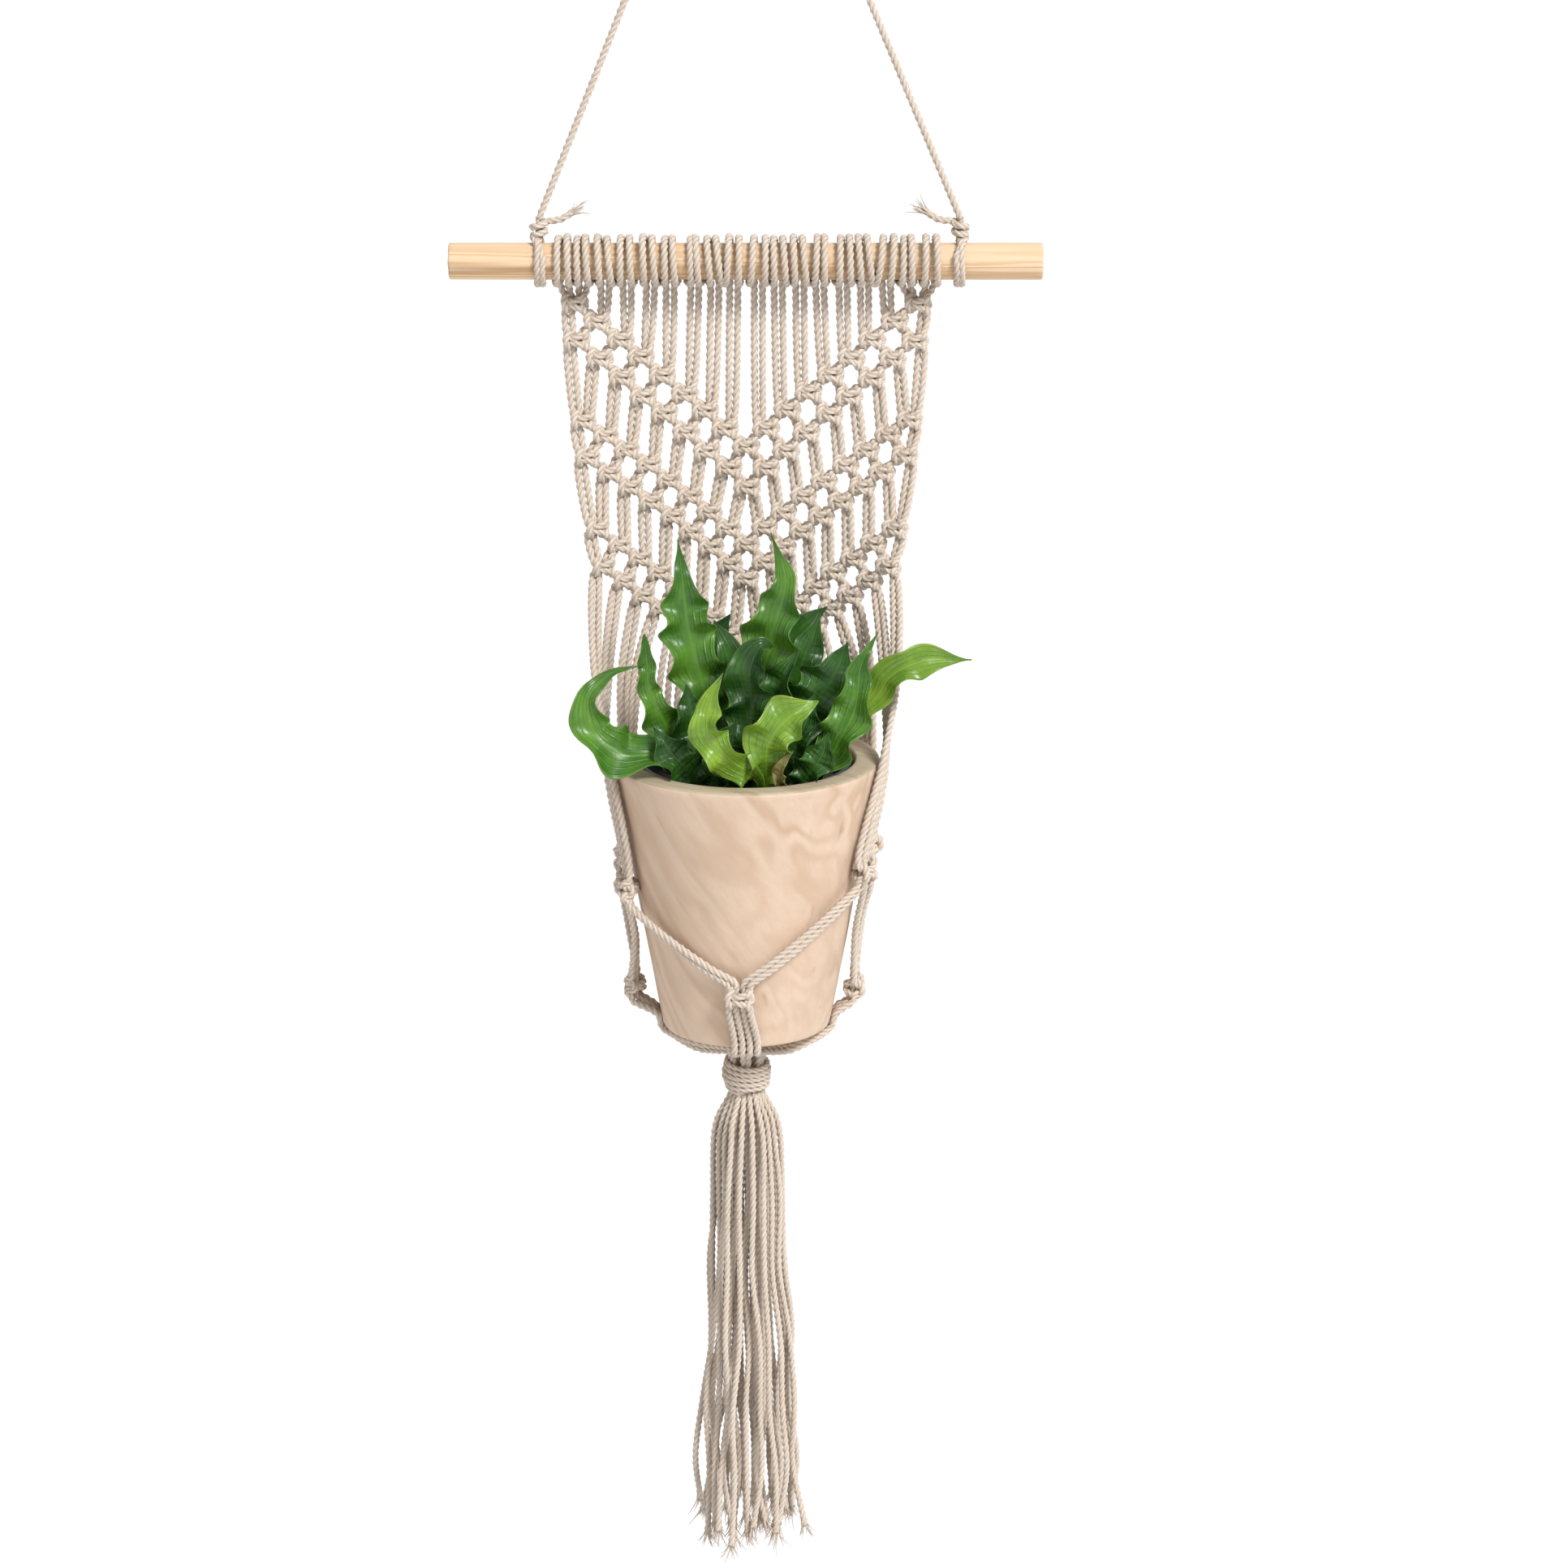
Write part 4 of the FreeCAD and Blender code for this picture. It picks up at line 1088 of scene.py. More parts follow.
@dataclass
class HangingCord:
    """The loaded cord from one end of the dowel over the hook to the other end, and its two hitches."""

    diameter: float = 3.9
    over_hook: tuple[float, float] = (3.6, 4.85)
    lead_from_hook: float = 24.0
    hitch_rise: float = 12.0

    def route(self) -> Array:
        """The cord's corners: left hitch, two over the hook's arm with leads, right hitch."""
        axis, high = middle("dowel"), corners("dowel")[1]
        left, right = middle("left_hitch"), middle("right_hitch")
        ends_z = high[2] + self.hitch_rise
        left_x, right_x = corners("left_hitch")[0][0] + 4.5, corners("right_hitch")[1][0] - 4.5
        start, end = np.array([left_x, axis[1], ends_z]), np.array([right_x, axis[1], ends_z])
        half, top = self.over_hook
        crest_left, crest_right = np.array([-half, axis[1], top]), np.array([half, axis[1], top])
        near_left = crest_left + unit(start - crest_left) * self.lead_from_hook
        near_right = crest_right + unit(end - crest_right) * self.lead_from_hook
        return np.array([start, near_left, crest_left, crest_right, near_right, end])

    def hitch(self, x: float, inward: float, seed: int) -> tuple[list[Shell], list[Shell]]:
        """Two turns round the dowel, a wrapped knot on top of it and the cord's frayed tail.

        Args:
            x: place along the dowel.
            inward: -1 or 1, the direction of the tail.
            seed: picks the tail's fray.

        Returns:
            The cord's skins and the fray's.
        """
        axis, high = middle("dowel"), corners("dowel")[1]
        radius = self.diameter / 2
        on_dowel = high[2] - axis[2] + radius + 0.1
        angle = np.radians(np.linspace(100, 100 + 640, 22))
        shift = np.linspace(-2.2, 2.2, 22) * inward
        turns = np.stack([x + shift, axis[1] - on_dowel * np.cos(angle),
                          axis[2] + on_dowel * np.sin(angle)], axis=1)
        top = axis[2] + on_dowel
        knot_turn = np.radians(np.linspace(200, 200 + 560, 20))
        rise = np.linspace(2.0, 8.5, 20)
        knot = np.stack([x + 3.3 * np.cos(knot_turn) * inward, axis[1] + 3.6 * np.sin(knot_turn),
                         top + rise], axis=1)
        tail_start = knot[-1]
        tail = np.array([tail_start + (inward * 3.5, -1.5, 0.5), tail_start + (inward * 9.0, -2.0, 1.5),
                         tail_start + (inward * 15.0, -1.0, 5.0)])
        line = np.vstack([turns, knot, tail])
        lay = Lay(radius=radius)
        core = np.array([(x, axis[1], top), (x, axis[1], top + 4.0), (x, axis[1], top + 10.0)])
        fray = FrayedEnd(fibres=16, length=11.0, spread=0.35).shells(tail[-1], tail[-1] - tail[-2], seed)
        return [lay.shell(line), lay.shell(core)], fray

    def build(self, material: bpy.types.Material) -> None:
        line = even_line(drawn_route(self.route()), 1.2)
        cord = make_piece("hanging_rope", [Lay(radius=self.diameter / 2).along(line)], material, "hanger",
                          ["hanging_cord"])
        for node, inward, x in (("left_hitch", 1.0, line[0][0]), ("right_hitch", -1.0, line[-1][0])):
            shells, fray = self.hitch(float(x), inward, 31 if inward > 0 else 47)
            make_piece(node + "_rope", shells, material, "hanger", [node])
            make_piece(node + "_fray", fray, material, "hanger")


# ---------------------------------------------------------------- the wrap and the tassel
@dataclass
class GatheringWrap:
    """The wound cord that ties the bundle."""

    turns: float = 5.6
    cord_radius: float = 1.6
    slant: float = 1.2

    def build(self, material: bpy.types.Material) -> None:
        """Make the winding as one helix whose turns lean, with its end tucked in."""
        low, high = corners("gathering_wrap")
        axis = (low + high) / 2
        radius = float(high[0] - low[0]) / 2 - self.cord_radius * 0.9
        share = np.linspace(0, 1, int(self.turns * 28))
        angle = 2 * math.pi * self.turns * share + 0.6
        rise = high[2] - 2.2 - (high[2] - low[2] - 4.2) * share
        bulge = radius - 1.7 + 1.7 * np.sin(math.pi * share) ** 0.7 + 0.3 * waves(share, 5, 0.3)
        lean = self.slant * np.sin(angle - 0.4) + 0.35 * waves(share, 8, 0.22)
        line = np.stack([axis[0] + bulge * np.cos(angle), axis[1] + bulge * np.sin(angle),
                         rise + lean], axis=1)
        tuck = line[-1] + np.array([[-3.0 * math.cos(angle[-1]), -3.0 * math.sin(angle[-1]), 1.5]])
        shell = Lay(radius=self.cord_radius, step=1.0).shell(np.vstack([line, tuck]))
        make_piece("wrap_winding", [shell], material, "wrap", ["gathering_wrap"])


@dataclass
class Tassel:
    """36 strands that hang from the wrap, and their frayed ends."""

    count: int = 36
    pitch: float = 3.6
    shoulder_drop: float = 26.0
    shoulder_fan: float = 1.6
    end_fan: float = 2.75
    length: float = 258.0
    fray: FrayedEnd = field(
        default_factory=lambda: FrayedEnd(fibres=14, length=11.0, spread=0.38, radius=0.4))

    @staticmethod
    def end_flare(along: Array) -> Array:
        """A strand's swelling towards its loose end."""
        return 1.0 + FLARE_SHARE * np.clip((along - along[-1] + FLARE_LENGTH) / FLARE_LENGTH, 0, 1) ** 2

    def places(self) -> Array:
        """Centres of the strands on a hexagonal grid, nearest to the axis first."""
        row_pitch = self.pitch * math.sqrt(0.75)
        spots = [((column + 0.5 * (row % 2)) * self.pitch, row * row_pitch + 0.15 * self.pitch)
                 for row in range(-4, 5) for column in range(-4, 5)]
        spots.sort(key=lambda place: (round(math.hypot(place[0], place[1]), 3), place))
        return np.array(spots[:self.count])

    def line(self, place: Array, number: int) -> Array:
        """A strand's line: under the wrap, out to the shoulder, and down in slack waves."""
        low, high = corners("gathering_wrap")
        axis_y = float(low[1] + high[1]) / 2
        reach = float(np.hypot(*place))
        top_z = float(low[2]) + 4.0 - 0.3 * reach
        chance = np.random.default_rng(900 + number)
        drops = np.array([0.0, 7.0, 16.0, self.shoulder_drop, 60, 100, 140, 180, 215, self.length])
        drops[-1] += chance.uniform(-9.0, 2.0) - 0.6 * reach
        fan = np.interp(drops, (0, 7.0, 16.0, self.shoulder_drop, self.length),
                        (0.66, 0.96, 1.4, self.shoulder_fan, self.end_fan))
        loose = np.interp(drops, (0, 26, 80, 250), (0, 0.3, 1.3, 2.6))[:, None]
        wander = chance.normal(0, 1.0, (len(drops), 2)) * loose
        sway = chance.normal(0, 0.8, 2) * (drops / self.length)[:, None] ** 2 * 2.5
        xy = place * fan[:, None] + wander + sway
        xy *= np.minimum(1.0, 34.0 / np.maximum(np.hypot(xy[:, 0], xy[:, 1]), 1e-6))[:, None]
        return smooth_line(np.c_[xy[:, 0], axis_y + xy[:, 1], top_z - drops], TASSEL.step)

    def build(self, material: bpy.types.Material) -> None:
        frays: list[Shell] = []
        for number, place in enumerate(self.places()):
            line = self.line(place, number)
            shell = TASSEL.along(line, self.end_flare, turn=number * 1.3)
            replaced = {0: ["inner_tassel_strands"], 1: ["outer_tassel_strands"]}.get(number, [])
            strand = make_piece(f"tassel_strand_{number + 1:02d}", [shell], material, "tassel",
                                replaced)
            tuple(line[0] * MM)
            (line * MM).tolist()
            frays += self.fray.shells(line[-1], line[-1] - line[-4], 300 + number)
        make_piece("tassel_fray", frays, material, "tassel")


# ---------------------------------------------------------------- dowel and pots
def turned(profile: Sequence[tuple[float, float]], centre: Array, sides: int, step: float,
           shape: Callable[[Array, Array], Array] | None = None) -> Shell:
    """A profile of (radius, height) carried round the vertical axis through a centre.

    Args:
        profile: from the middle of the underside, out and up, and back in to the middle.
        centre: where radius and height are zero.
        sides: points round the axis.
        step: distance between points along the profile.
        shape: adds to the radius, from angle and height.

    Returns:
        The closed skin.
    """
    corners_3d = np.array([(r, 0.0, z) for r, z in profile])
    pieces = [corners_3d[:1]]
    for a, b in zip(corners_3d[:-1], corners_3d[1:]):
        number = max(1, int(np.linalg.norm(b - a) / step))
        pieces.append(a + (b - a) * np.linspace(0, 1, number + 1)[1:, None])
    line = np.vstack(pieces)
    angle = np.arange(sides) / sides * 2 * math.pi
    radius = np.repeat(line[:, :1], sides, axis=1)
    if shape is not None:
        radius = radius + shape(angle[None, :], line[:, 2:]) * (radius > 2.0)
    grid = np.stack([radius * np.cos(angle), radius * np.sin(angle),
                     np.repeat(line[:, 2:], sides, axis=1)], axis=-1)
    return Shell(grid + centre, uv_size=(1.0, 1.0))


@dataclass
class Dowel:
    """The wooden rod: eased, slightly uneven ends and a hardly wavy surface."""

    ease: float = 0.7

    def build(self) -> None:
        """Make the rod along X: rings whose radius waves a little, closed by rough ends."""
        low, high = corners("dowel")
        axis = (low + high) / 2
        radius, half = float(high[2] - low[2]) / 2, float(high[0] - low[0]) / 2
        x = np.r_[-half, -half, -half + 0.3, np.linspace(-half + 1.2, half - 1.2, 180),
                  half - 0.3, half, half]
        size = np.full_like(x, radius)
        size[[0, -1]] = 2.0
        size[[1, -2]] = radius - self.ease
        size[[2, -3]] = radius - 0.2
        angle = np.arange(64) / 64 * 2 * math.pi
        uneven = 0.07 * np.sin(3 * angle[None, :] + 0.01 * x[:, None]) + 0.05 * waves(x, 3, 60.0)[:, None]
        reach = size[:, None] + uneven - 0.12
        reach[[0, -1]] = 2.0
        jag = np.zeros((len(x), 64))
        jag[:2] = 0.35 * np.abs(waves(angle, 12, 2.1))[None, :]
        jag[-2:] = -0.35 * np.abs(waves(angle, 14, 2.1))[None, :]
        grid = np.stack([x[:, None] + jag, axis[1] + reach * np.cos(angle),
                         axis[2] + reach * np.sin(angle)], axis=-1)
        make_piece("dowel_rod", [Shell(grid)], DOWEL_PINE.material("dowel_pine"), "panel",
                   ["dowel"])


@dataclass
class Pots:
    """The turned wooden pot, the nursery pot inside it and the soil."""

    foot_radius: float = 44.0
    wall: float = 12.5
    cavity_depth: float = 114.0
    cavity_taper: float = 15.0
    liner_gap: float = 1.2
    liner_wall: float = 1.2
    liner_drop: float = 1.5
    lip: float = 3.0
    soil_drop: float = 12.0
    soil_shown: float = 30.0

    def dents(self, angle: Array, z: Array) -> Array:
        """Small hollows and flats left by the tool on the pot's outer wall."""
        total = 0.35 * np.sin(2 * angle + 0.7) * (z < -2) + 0.12 * np.sin(5 * angle + z * 0.05)
        for at, height, size, depth in ((-1.98, -66, 3.2, 0.9), (-1.72, -92, 2.6, 0.8), (-1.1, -40, 3.0, 0.5),
                                        (-0.4, -112, 3.4, 0.6), (0.9, -70, 3.0, 0.6), (2.3, -55, 3.5, 0.7)):
            away = ((np.angle(np.exp(1j * (angle - at)))) * 60.0) ** 2 + (z - height) ** 2
            total = total - depth * np.exp(-away / (2 * size ** 2))
        return total * (z < -1.0)

    def build(self) -> None:
        """Make the three pieces."""
        low, high = corners("wooden_pot")
        centre = np.array([(low[0] + high[0]) / 2, (low[1] + high[1]) / 2, high[2]])
        rim, height = float(high[0] - low[0]) / 2, float(high[2] - low[2])
        mouth = rim - self.wall
        floor = mouth - self.cavity_taper
        profile = [(0.5, -height), (self.foot_radius - 1.6, -height), (self.foot_radius - 0.5, -height + 0.5),
                   (self.foot_radius, -height + 1.7), (rim, -2.0), (rim - 0.3, -0.9), (rim - 1.2, -0.15),
                   (mouth + 1.0, 0), (mouth + 0.3, -0.3), (mouth, -1.2), (floor, -self.cavity_depth),
                   (0.5, -self.cavity_depth)]

        def outside(angle: Array, z: Array) -> Array:
            """Tool marks on the outer wall only: the cavity's rows come after the rim."""
            marks = self.dents(angle, z)
            rows = np.arange(len(z))[:, None]
            return np.where(rows < np.argmax(z[:, 0]), marks, 0.0)

        pot = turned(profile, centre, 160, 2.2, outside)
        piece = make_piece("turned_pot", [pot], POT_PINE.material("pot_pine"), "pot",
                           ["wooden_pot"])
        piece.data.materials.append(RIM_PINE.material("rim_pine"))
        heights = np.array([polygon.center[2] for polygon in piece.data.polygons])
        upward = np.array([polygon.normal[2] for polygon in piece.data.polygons])
        index = ((heights > (centre[2] - 2.0) * MM) & (upward > 0.6)).astype(np.int32)
        piece.data.polygons.foreach_set("material_index", index)
        self._liner(centre, mouth)

    def _liner(self, centre: Array, mouth: float) -> None:
        """Make the nursery pot and the soil in it."""
        def outer(drop: float) -> float:
            """Outer radius at a drop below the wooden rim."""
            return mouth - self.cavity_taper * drop / self.cavity_depth - self.liner_gap

        top, foot, wall = self.liner_drop, self.cavity_depth - 0.3, self.liner_wall
        rim = outer(top + self.lip)
        body, foot_r = rim - wall * 0.6, outer(foot) - wall * 0.6
        profile = [(0.5, -foot), (foot_r, -foot), (body, -top - self.lip - 0.4), (rim - 0.1, -top - self.lip),
                   (rim, -top - self.lip + 0.5), (rim, -top - 0.5), (rim - 0.4, -top),
                   (body - wall, -top - 0.1),
                   (body - wall - 0.2, -top - 0.8), (foot_r - wall, -foot + wall), (0.5, -foot + wall)]
        make_piece("liner_pot", [turned(profile, centre, 128, 3.0)],
                   LINER_PLASTIC.material("liner_plastic"), "plant", ["nursery_pot"])
        level = top + self.soil_drop
        radius = outer(level) - wall * 1.9
        r = np.linspace(0.0, 1.0, 40)[:, None] ** 0.8 * radius
        angle = np.arange(110)[None, :] / 110 * 2 * math.pi
        x, y = r * np.cos(angle), r * np.sin(angle)
        lumps = 1.1 * np.sin(x * 0.9 + 1.3 * np.sin(y * 0.7)) * np.sin(y * 1.1 + 0.8 * np.sin(x * 0.8))
        chance = np.random.default_rng(77)
        lumps = lumps + chance.normal(0, 0.55, lumps.shape) * (r > 1.0)
        top_grid = np.stack([x, y, -level + lumps * 0.8 - 0.6], axis=-1)
        narrowed = (outer(level + self.soil_shown) - wall * 1.9) / radius
        side = np.stack([x[-1:] * narrowed, y[-1:] * narrowed,
                         np.full_like(x[-1:], -level - self.soil_shown)], axis=-1)
        under = np.stack([x[:1] * 0 + 0.5 * np.cos(angle), y[:1] * 0 + 0.5 * np.sin(angle),
                          np.full_like(x[:1], -level - self.soil_shown)], axis=-1)
        top_grid[0] = (0.0, 0.0, -level)
        top_grid[0, :, :2] = 0.3 * np.stack([np.cos(angle[0]), np.sin(angle[0])], axis=-1)
        grid = np.vstack([under, side, top_grid[::-1]]) + centre
        make_piece("soil_filling", [Shell(grid)], SOIL_CRUMB.material("soil_crumb"), "plant",
                   ["potting_soil"])


# ---------------------------------------------------------------- the fern
class Blade(Enum):
    """How a leaf is coloured."""

    DEEP = "deep"
    FRESH = "fresh"
    YOUNG = "young"
    DRY = "dry"


@dataclass(frozen=True)
class Leaf:
    """A wavy strap leaf: a curved midline, widths along it, a fold at the rib and waves at its edges."""

    name: str
    node: str
    blade: Blade
    points: tuple[tuple[float, float, float], ...]
    widths: tuple[float, ...]
    facing: tuple[float, float, float] = (0.0, -1.0, 0.3)
    twist: tuple[float, float] = (0.0, 0.0)
    wave: float = 4.6
    waves_long: float = 6.0
    fold: float = 0.35
    seed: int = 1

    def shell(self, centre: Array) -> Shell:
        """The leaf's closed skin.

        Across the blade, v runs from -1 to 1. A point is the midline plus v times half the
        width along the blade's side, plus a lift along its normal: the fold's |v|, a wave
        that grows with v squared, and a shallow curl.

        Args:
            centre: the middle of the pot's rim.

        Returns:
            The skin, top face then underside.
        """
        rows, columns = 96, 19
        line = smooth_line(self.points, 0.5)
        along = lengths_along(line)
        places = np.linspace(0, along[-1], rows)
        line = np.stack([np.interp(places, along, line[:, axis]) for axis in range(3)], axis=1)
        share = places / along[-1]
        tangent = unit(np.gradient(line, axis=0))
        facing = np.array(self.facing, float)
        side = unit(np.cross(tangent, facing))
        normal = np.cross(side, tangent)
        turn = np.radians(self.twist[0] + (self.twist[1] - self.twist[0]) * share)[:, None]
        side, normal = (np.cos(turn) * side + np.sin(turn) * normal,
                        np.cos(turn) * normal - np.sin(turn) * side)
        knots = np.linspace(0, 1, len(self.widths))
        width = np.interp(share, knots, self.widths)
        width = np.convolve(np.pad(width, 4, mode="edge"), np.ones(9) / 9, mode="valid")
        tip = np.clip((1 - share) / 0.24, 0, 1) ** 0.6 * np.sqrt(np.clip(share / 0.02, 0.15, 1))
        half = np.maximum(width / 2 * tip, 0.35)[:, None]
        v = np.linspace(-1, 1, columns)[None, :]
        phase = np.where(v < 0, 0.0, 1.1) + self.seed
        drift = 0.9 * waves(share, self.seed, 0.7)[:, None]
        beat = 2 * math.pi * self.waves_long * share[:, None] + phase + drift
        swell = np.sin(math.pi * np.clip(share, 0, 1))[:, None] ** 0.6
        pleat = self.wave * swell * np.sin(beat) * np.abs(v) ** 1.15 * (half / half.max()) ** 0.6
        lift = self.fold * half * np.abs(v) ** 1.3 + pleat
        edge = 1 + 0.20 * np.cos(beat + 0.8) * swell * np.abs(v)
        off_rib = np.abs(v)
        ripple = 0.22 * np.sin(places[:, None] * 2.1 - 5 * off_rib) * off_rib * (1 - off_rib) * 4 * swell
        face = (line[:, None] + side[:, None] * (half * v * edge)[..., None]
                + normal[:, None] * (lift + ripple)[..., None])
        du, dv = np.gradient(face, axis=0), np.gradient(face, axis=1)
        out = unit(np.cross(dv, du))
        thick = 0.32 * (1 - 0.75 * np.abs(v) ** 6)[..., None] + 0.35 * np.exp(-(v / 0.10) ** 2)[..., None]
        back = face - out * thick
        front = face + out * thick * 0.6
        loop = np.concatenate([front, back[:, ::-1]], axis=1)
        return Shell(loop + centre, uv_size=(float(along[-1]) * MM, 2.0))


FERN = (
    Leaf("leaf_upper_left", "upper_left_leaf", Blade.FRESH,
         ((-8, -8, -16), (-16, -10, 20), (-22, -12, 39), (-30, -14, 73), (-32, -14, 96), (-34, -8, 116)),
         (4, 9, 15, 25, 27, 25, 14, 3), (0.1, -1, 0.2), (10, -10), 5.3, 6.8, 0.3, 3),
    Leaf("leaf_tall_centre", "tall_centre_leaf", Blade.FRESH,
         ((2, 4, -16), (4, 0, 20), (7, -6, 41), (14, -12, 73), (20, -14, 96), (13, -10, 120)),
         (4, 8, 14, 26, 31, 27, 18, 11, 2), (-0.05, -1, 0.2), (0, 8), 5.0, 6.8, 0.25, 5),
    Leaf("leaf_right_rear", "right_rear_leaf", Blade.DEEP,
         ((9, 14, -16), (13, 16, 18), (15, 18, 39), (28, 20, 63), (42, 22, 74)),
         (4, 9, 18, 26, 24, 6), (0.2, -1, 0.3), (0, 0), 4.7, 4.7, 0.3, 7),
    Leaf("leaf_left_rear", "left_rear_leaf", Blade.DEEP,
         ((-6, 16, -16), (-12, 17, 15), (-17, 18, 35), (-17, 20, 54), (-8, 22, 70)),
         (4, 10, 20, 27, 24, 8), (0.0, -1, 0.3), (0, 10), 4.7, 4.7, 0.3, 9),
    Leaf("leaf_left_curl", "curled_leaves", Blade.DEEP,
         ((3, -18, -16), (2, -22, 12), (3, -24, 33), (2, -27, 54), (8, -29, 66), (14, -22, 64)),
         (4, 10, 20, 24, 22, 20, 8), (-0.2, -1, 0.35), (-15, 20), 4.0, 4.7, 0.5, 11),
    Leaf("leaf_right_curl", "curled_leaves", Blade.DEEP,
         ((12, -14, -16), (14, -18, 10), (16, -20, 32), (22, -24, 52), (27, -22, 62)),
         (4, 9, 16, 21, 20, 7), (-0.5, -1, 0.3), (0, 15), 3.4, 4.7, 0.6, 13),
    Leaf("leaf_right_round", "right_round_leaf", Blade.DEEP,
         ((19, -4, -16), (24, -6, 8), (30, -8, 25), (42, -10, 42), (52, -6, 62)),
         (4, 9, 18, 28, 31, 25, 8), (0.1, -1, 0.35), (5, -10), 4.3, 4.7, 0.3, 15),
    Leaf("leaf_right_tall", "right_tall_leaf", Blade.FRESH,
         ((27, -26, -16), (34, -30, -4), (44, -34, 13), (55, -34, 36), (58, -30, 56), (67, -24, 72)),
         (4, 12, 21, 23, 16, 9, 2), (-0.3, -1, 0.3), (25, -20), 4.3, 5.4, 0.35, 17),
    Leaf("leaf_far_right", "far_right_leaf", Blade.YOUNG,
         ((25, -2, -16), (36, -6, 4), (50, -10, 17), (67, -14, 37), (73, -16, 47), (89, -16, 55),
          (115, -10, 54)),
         (4, 8, 11, 12, 13, 15, 18, 16, 1), (0.0, -1, 0.6), (30, -25), 2.8, 4.7, 0.35, 19),
    Leaf("leaf_far_left", "far_left_leaf", Blade.FRESH,
         ((-20, -20, -16), (-30, -27, 2), (-42, -34, 10), (-62, -40, 12), (-77, -40, 24),
          (-79, -37, 42), (-67, -30, 52), (-51, -24, 55)),
         (4, 9, 16, 25, 26, 18, 10, 6, 2), (-0.2, -0.8, 0.9), (25, -25), 4.0, 5.4, 0.35, 21),
    Leaf("leaf_left_spoon", "left_spoon_leaf", Blade.FRESH,
         ((-24, -16, -16), (-32, -20, 4), (-41, -22, 22), (-49, -24, 42), (-50, -22, 56), (-51, -20, 70)),
         (4, 12, 18, 21, 16, 9, 11, 9), (0.2, -1, 0.3), (-10, 10), 4.3, 6.1, 0.3, 23),
    Leaf("leaf_front_left", "front_left_leaf", Blade.YOUNG,
         ((4, -40, -16), (6, -45, 0), (-7, -52, 12), (-19, -54, 28), (-17, -50, 44), (-11, -44, 56)),
         (6, 15, 17, 19, 16, 11, 4), (-0.5, -1, 0.5), (35, -30), 4.3, 4.7, 0.3, 25),
    Leaf("leaf_front_centre", "front_centre_leaf", Blade.YOUNG,
         ((11, -36, -16), (10, -43, 4), (11, -49, 20), (20, -51, 34), (37, -46, 42)),
         (5, 12, 21, 24, 22, 8), (0.2, -1, 0.4), (-15, 15), 4.3, 4.7, 0.3, 27),
    Leaf("leaf_front_low", "withered_leaf", Blade.DRY,
         ((24, -38, -16), (17, -48, 2), (19, -52, 11), (24, -54, 18)),
         (3, 6, 7, 3), (0.2, -1, 0.4), (0, 30), 1.6, 3.4, 0.6, 29),
    Leaf("leaf_filler_a", "", Blade.DEEP, ((-12, -14, -16), (-20, -20, 8), (-27, -24, 26), (-30, -22, 44)),
         (4, 14, 22, 20, 7), (0.3, -1, 0.4), (-20, 15), 4.2, 4.5, 0.4, 31),
    Leaf("leaf_filler_b", "", Blade.DEEP, ((16, -20, -16), (22, -26, 6), (29, -28, 24), (35, -26, 40)),
         (4, 14, 22, 20, 7), (-0.3, -1, 0.4), (20, -15), 4.2, 4.5, 0.4, 33),
    Leaf("leaf_filler_c", "", Blade.DEEP, ((-2, -30, -16), (-6, -38, 2), (-10, -42, 16), (-4, -40, 30)),
         (4, 13, 20, 18, 6), (0.2, -1, 0.5), (-25, 20), 3.8, 4.0, 0.4, 35),
    Leaf("leaf_filler_d", "", Blade.DEEP, ((-18, -28, -16), (-29, -37, 2), (-38, -40, 14), (-46, -38, 26)),
         (4, 13, 20, 16, 5), (0.2, -1, 0.6), (-15, 20), 4.0, 4.0, 0.4, 37),
    Leaf("leaf_filler_e", "", Blade.DEEP,
         ((0, 0, -16), (0, -4, 22), (-3, -10, 46), (-10, -12, 64), (-16, -8, 74)),
         (4, 12, 22, 26, 20, 6), (0.1, -1, 0.3), (0, 15), 4.2, 5.0, 0.35, 39),
    Leaf("leaf_filler_f", "", Blade.DEEP, ((14, 2, -16), (20, 0, 20), (26, -2, 44), (34, 0, 64), (38, 4, 76)),
         (4, 12, 22, 25, 18, 6), (0.0, -1, 0.3), (0, -15), 4.2, 5.0, 0.35, 41),
    Leaf("leaf_filler_g", "", Blade.DEEP, ((22, -30, -16), (31, -37, 0), (38, -40, 12), (42, -40, 24)),
         (4, 13, 18, 15, 5), (-0.2, -1, 0.5), (20, -20), 3.8, 4.0, 0.4, 43),
    Leaf("leaf_filler_h", "", Blade.DEEP, ((4, -26, -16), (8, -34, 6), (14, -38, 20), (22, -38, 30)),
         (4, 14, 21, 18, 6), (0.1, -1, 0.5), (10, -20), 3.8, 4.0, 0.4, 45),
)


@dataclass
class Fern:
    """All the leaves."""

    def build(self) -> None:
        """Make each leaf and its finish."""
        low, high = corners("wooden_pot")
        centre = np.array([(low[0] + high[0]) / 2, (low[1] + high[1]) / 2, high[2]])
        finishes = {Blade.DEEP: DEEP_LEAF, Blade.FRESH: FRESH_LEAF, Blade.YOUNG: YOUNG_LEAF,
                    Blade.DRY: DRY_LEAF}
        paints = {blade: finish.material("leaf_" + blade.value) for blade, finish in finishes.items()}
        for leaf in FERN:
            make_piece(leaf.name, [leaf.shell(centre)], paints[leaf.blade], "plant",
                       [leaf.node] if leaf.node else [])


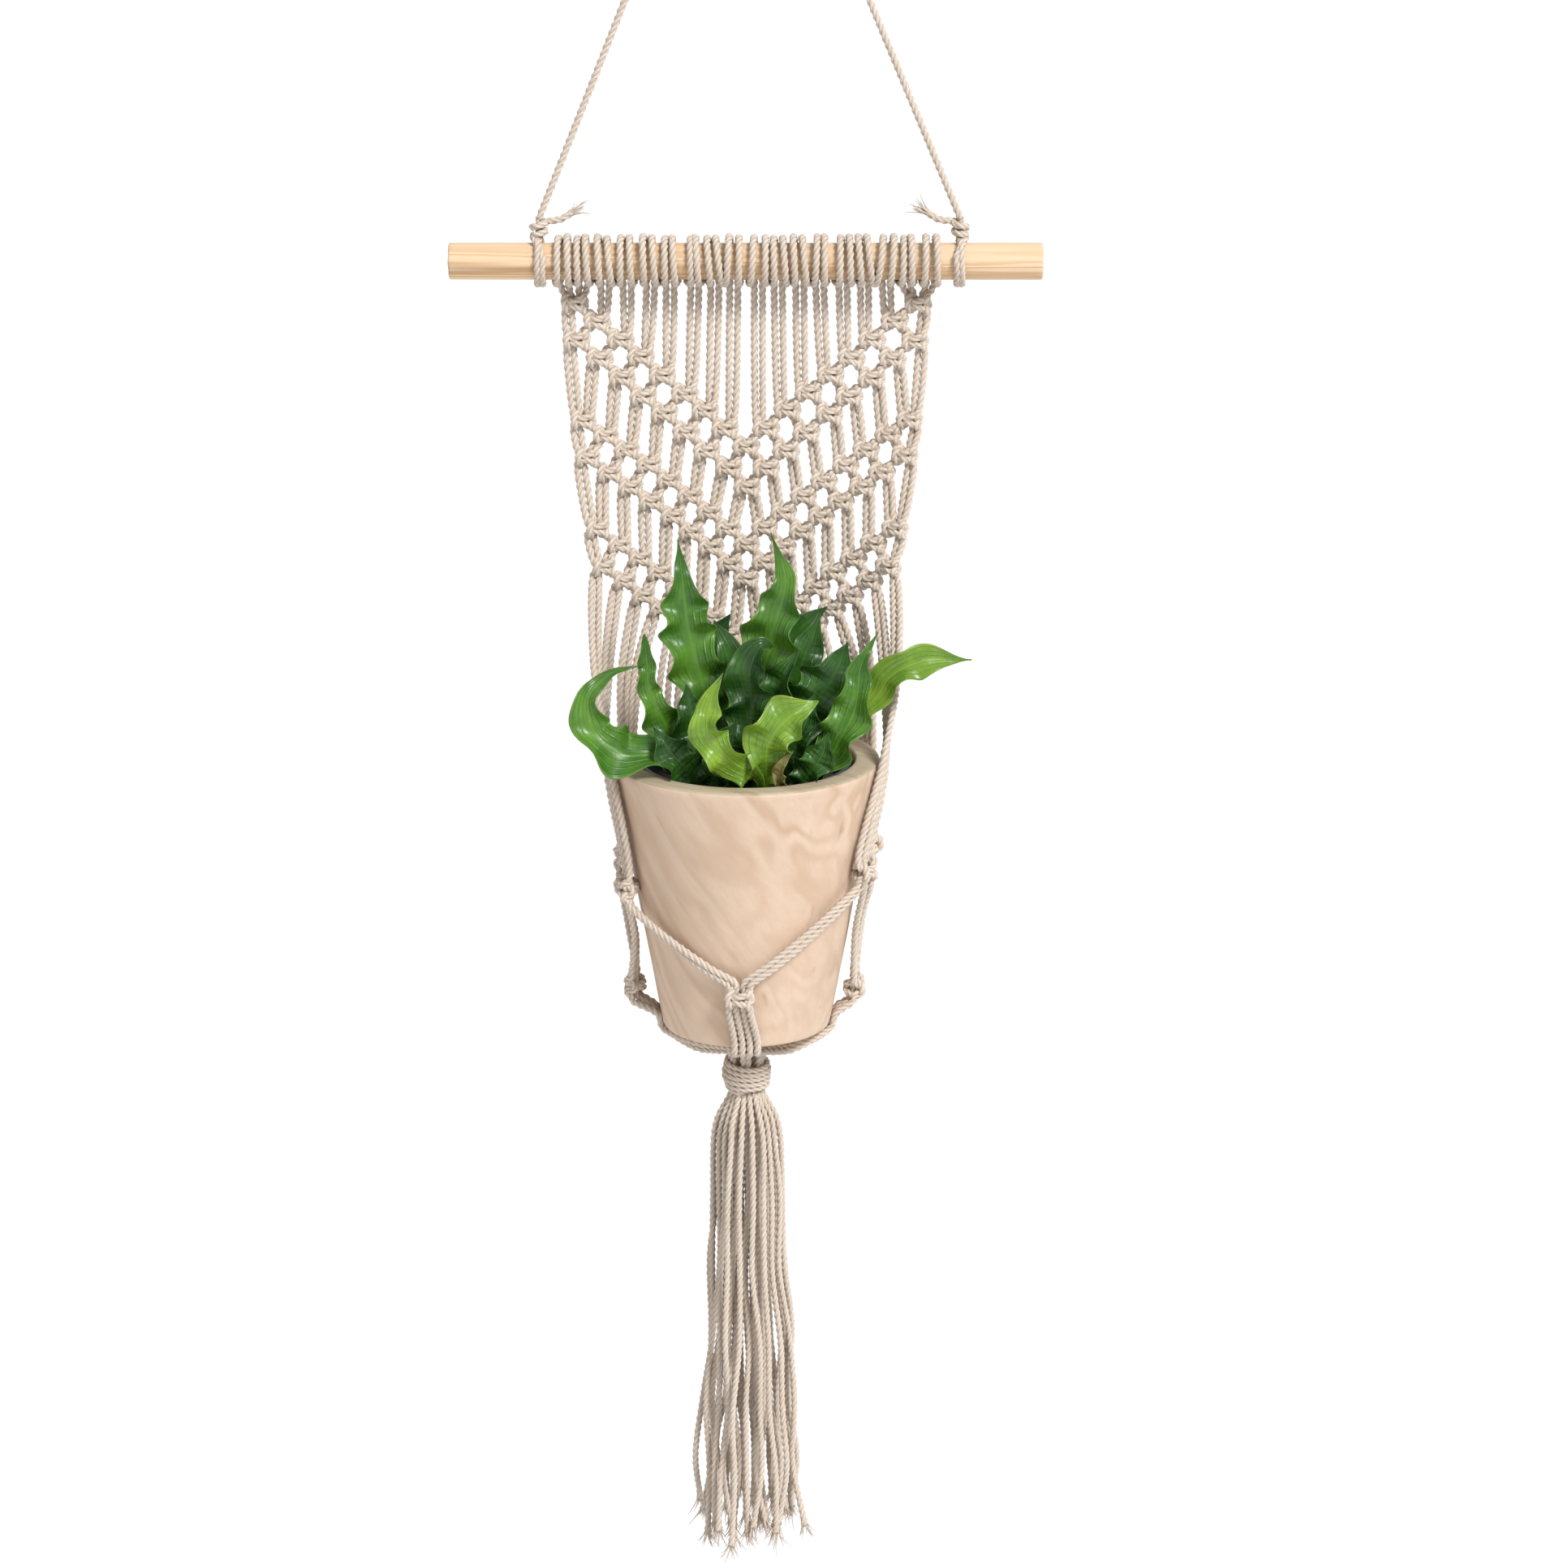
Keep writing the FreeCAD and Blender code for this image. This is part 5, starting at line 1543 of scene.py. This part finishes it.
# ---------------------------------------------------------------- room, light and camera
@dataclass(frozen=True)
class Studio:
    """A plain pale floor, soft light and the camera."""

    camera_place: tuple[float, float, float] = (19.6, -1917.4, 15.2)
    camera_pitch: float = 73.6
    lens: float = 85.0
    floor_gap: float = 1600.0
    sky: float = 0.55
    sun: float = 2.9
    sun_width: float = 16.0
    sun_way: tuple[float, float, float] = (-0.55, 0.75, -0.85)

    def build(self) -> None:
        """Make the floor, the lights, the world and the camera."""
        scene = bpy.context.scene
        half = 60000.0
        z = float(CAD_BOX[0][2]) / MM - self.floor_gap
        grid = np.array([[[-half, -half, z], [half, -half, z]], [[-half, half, z], [half, half, z]]])
        mesh = bpy.data.meshes.new("floor")
        mesh.from_pydata((grid.reshape(-1, 3) * MM).tolist(), [], [[0, 1, 3, 2]])
        mesh.materials.append(FLOOR_WHITE.material("floor_white"))
        floor = bpy.data.objects.new("floor", mesh)
        scene.collection.objects.link(floor)
        world = bpy.data.worlds.new("studio")
        world.use_nodes = True
        nodes, links = world.node_tree.nodes, world.node_tree.links
        glow = nodes["Background"]
        glow.inputs["Color"].default_value = (1.0, 1.0, 1.0, 1.0)
        glow.inputs["Strength"].default_value = self.sky
        seen = nodes.new("ShaderNodeBackground")
        seen.inputs["Color"].default_value = (1.0, 1.0, 1.0, 1.0)
        choice, rays = nodes.new("ShaderNodeMixShader"), nodes.new("ShaderNodeLightPath")
        links.new(rays.outputs["Is Camera Ray"], choice.inputs[0])
        links.new(glow.outputs[0], choice.inputs[1])
        links.new(seen.outputs[0], choice.inputs[2])
        links.new(choice.outputs[0], nodes["World Output"].inputs["Surface"])
        scene.world = world
        key = bpy.data.lights.new("key", "SUN")
        key.energy, key.angle = self.sun, math.radians(self.sun_width)
        lamp = bpy.data.objects.new("key", key)
        lamp.rotation_euler = facing(self.sun_way)
        scene.collection.objects.link(lamp)
        camera_data = bpy.data.cameras.new("camera")
        camera_data.lens, camera_data.sensor_width = self.lens, 36.0
        camera = bpy.data.objects.new("camera", camera_data)
        camera.location = np.array(self.camera_place) * MM
        camera.rotation_euler = (math.radians(self.camera_pitch), 0.0, 0.0)
        scene.collection.objects.link(camera)
        scene.camera = camera
        scene.view_settings.view_transform = "Standard"


def facing(way: Sequence[float]) -> tuple[float, float, float]:
    """The turn that points a light along a direction."""
    return tuple(Vector(way).to_track_quat("-Z", "Y").to_euler())


def dress_hook() -> None:
    """Give the wall hook its plated finish."""
    hook = frame["nodes"]["wall_hook"]
    hook.data.materials.clear()
    hook.data.materials.append(BRASS.material("hook_brass"))


def main() -> None:
    """Build every piece in order."""
    logging.basicConfig(level=logging.INFO, format="%(message)s")
    cotton = COTTON.material("cotton")
    panel, cradle = KnottedPanel(), Cradle()
    MacrameCords(panel, cradle).build(cotton)
    HangingCord().build(cotton)
    GatheringWrap().build(cotton)
    Tassel().build(cotton)
    Dowel().build()
    Pots().build()
    Fern().build()
    dress_hook()
    Studio().build()


if __name__ == "__main__":
    main()
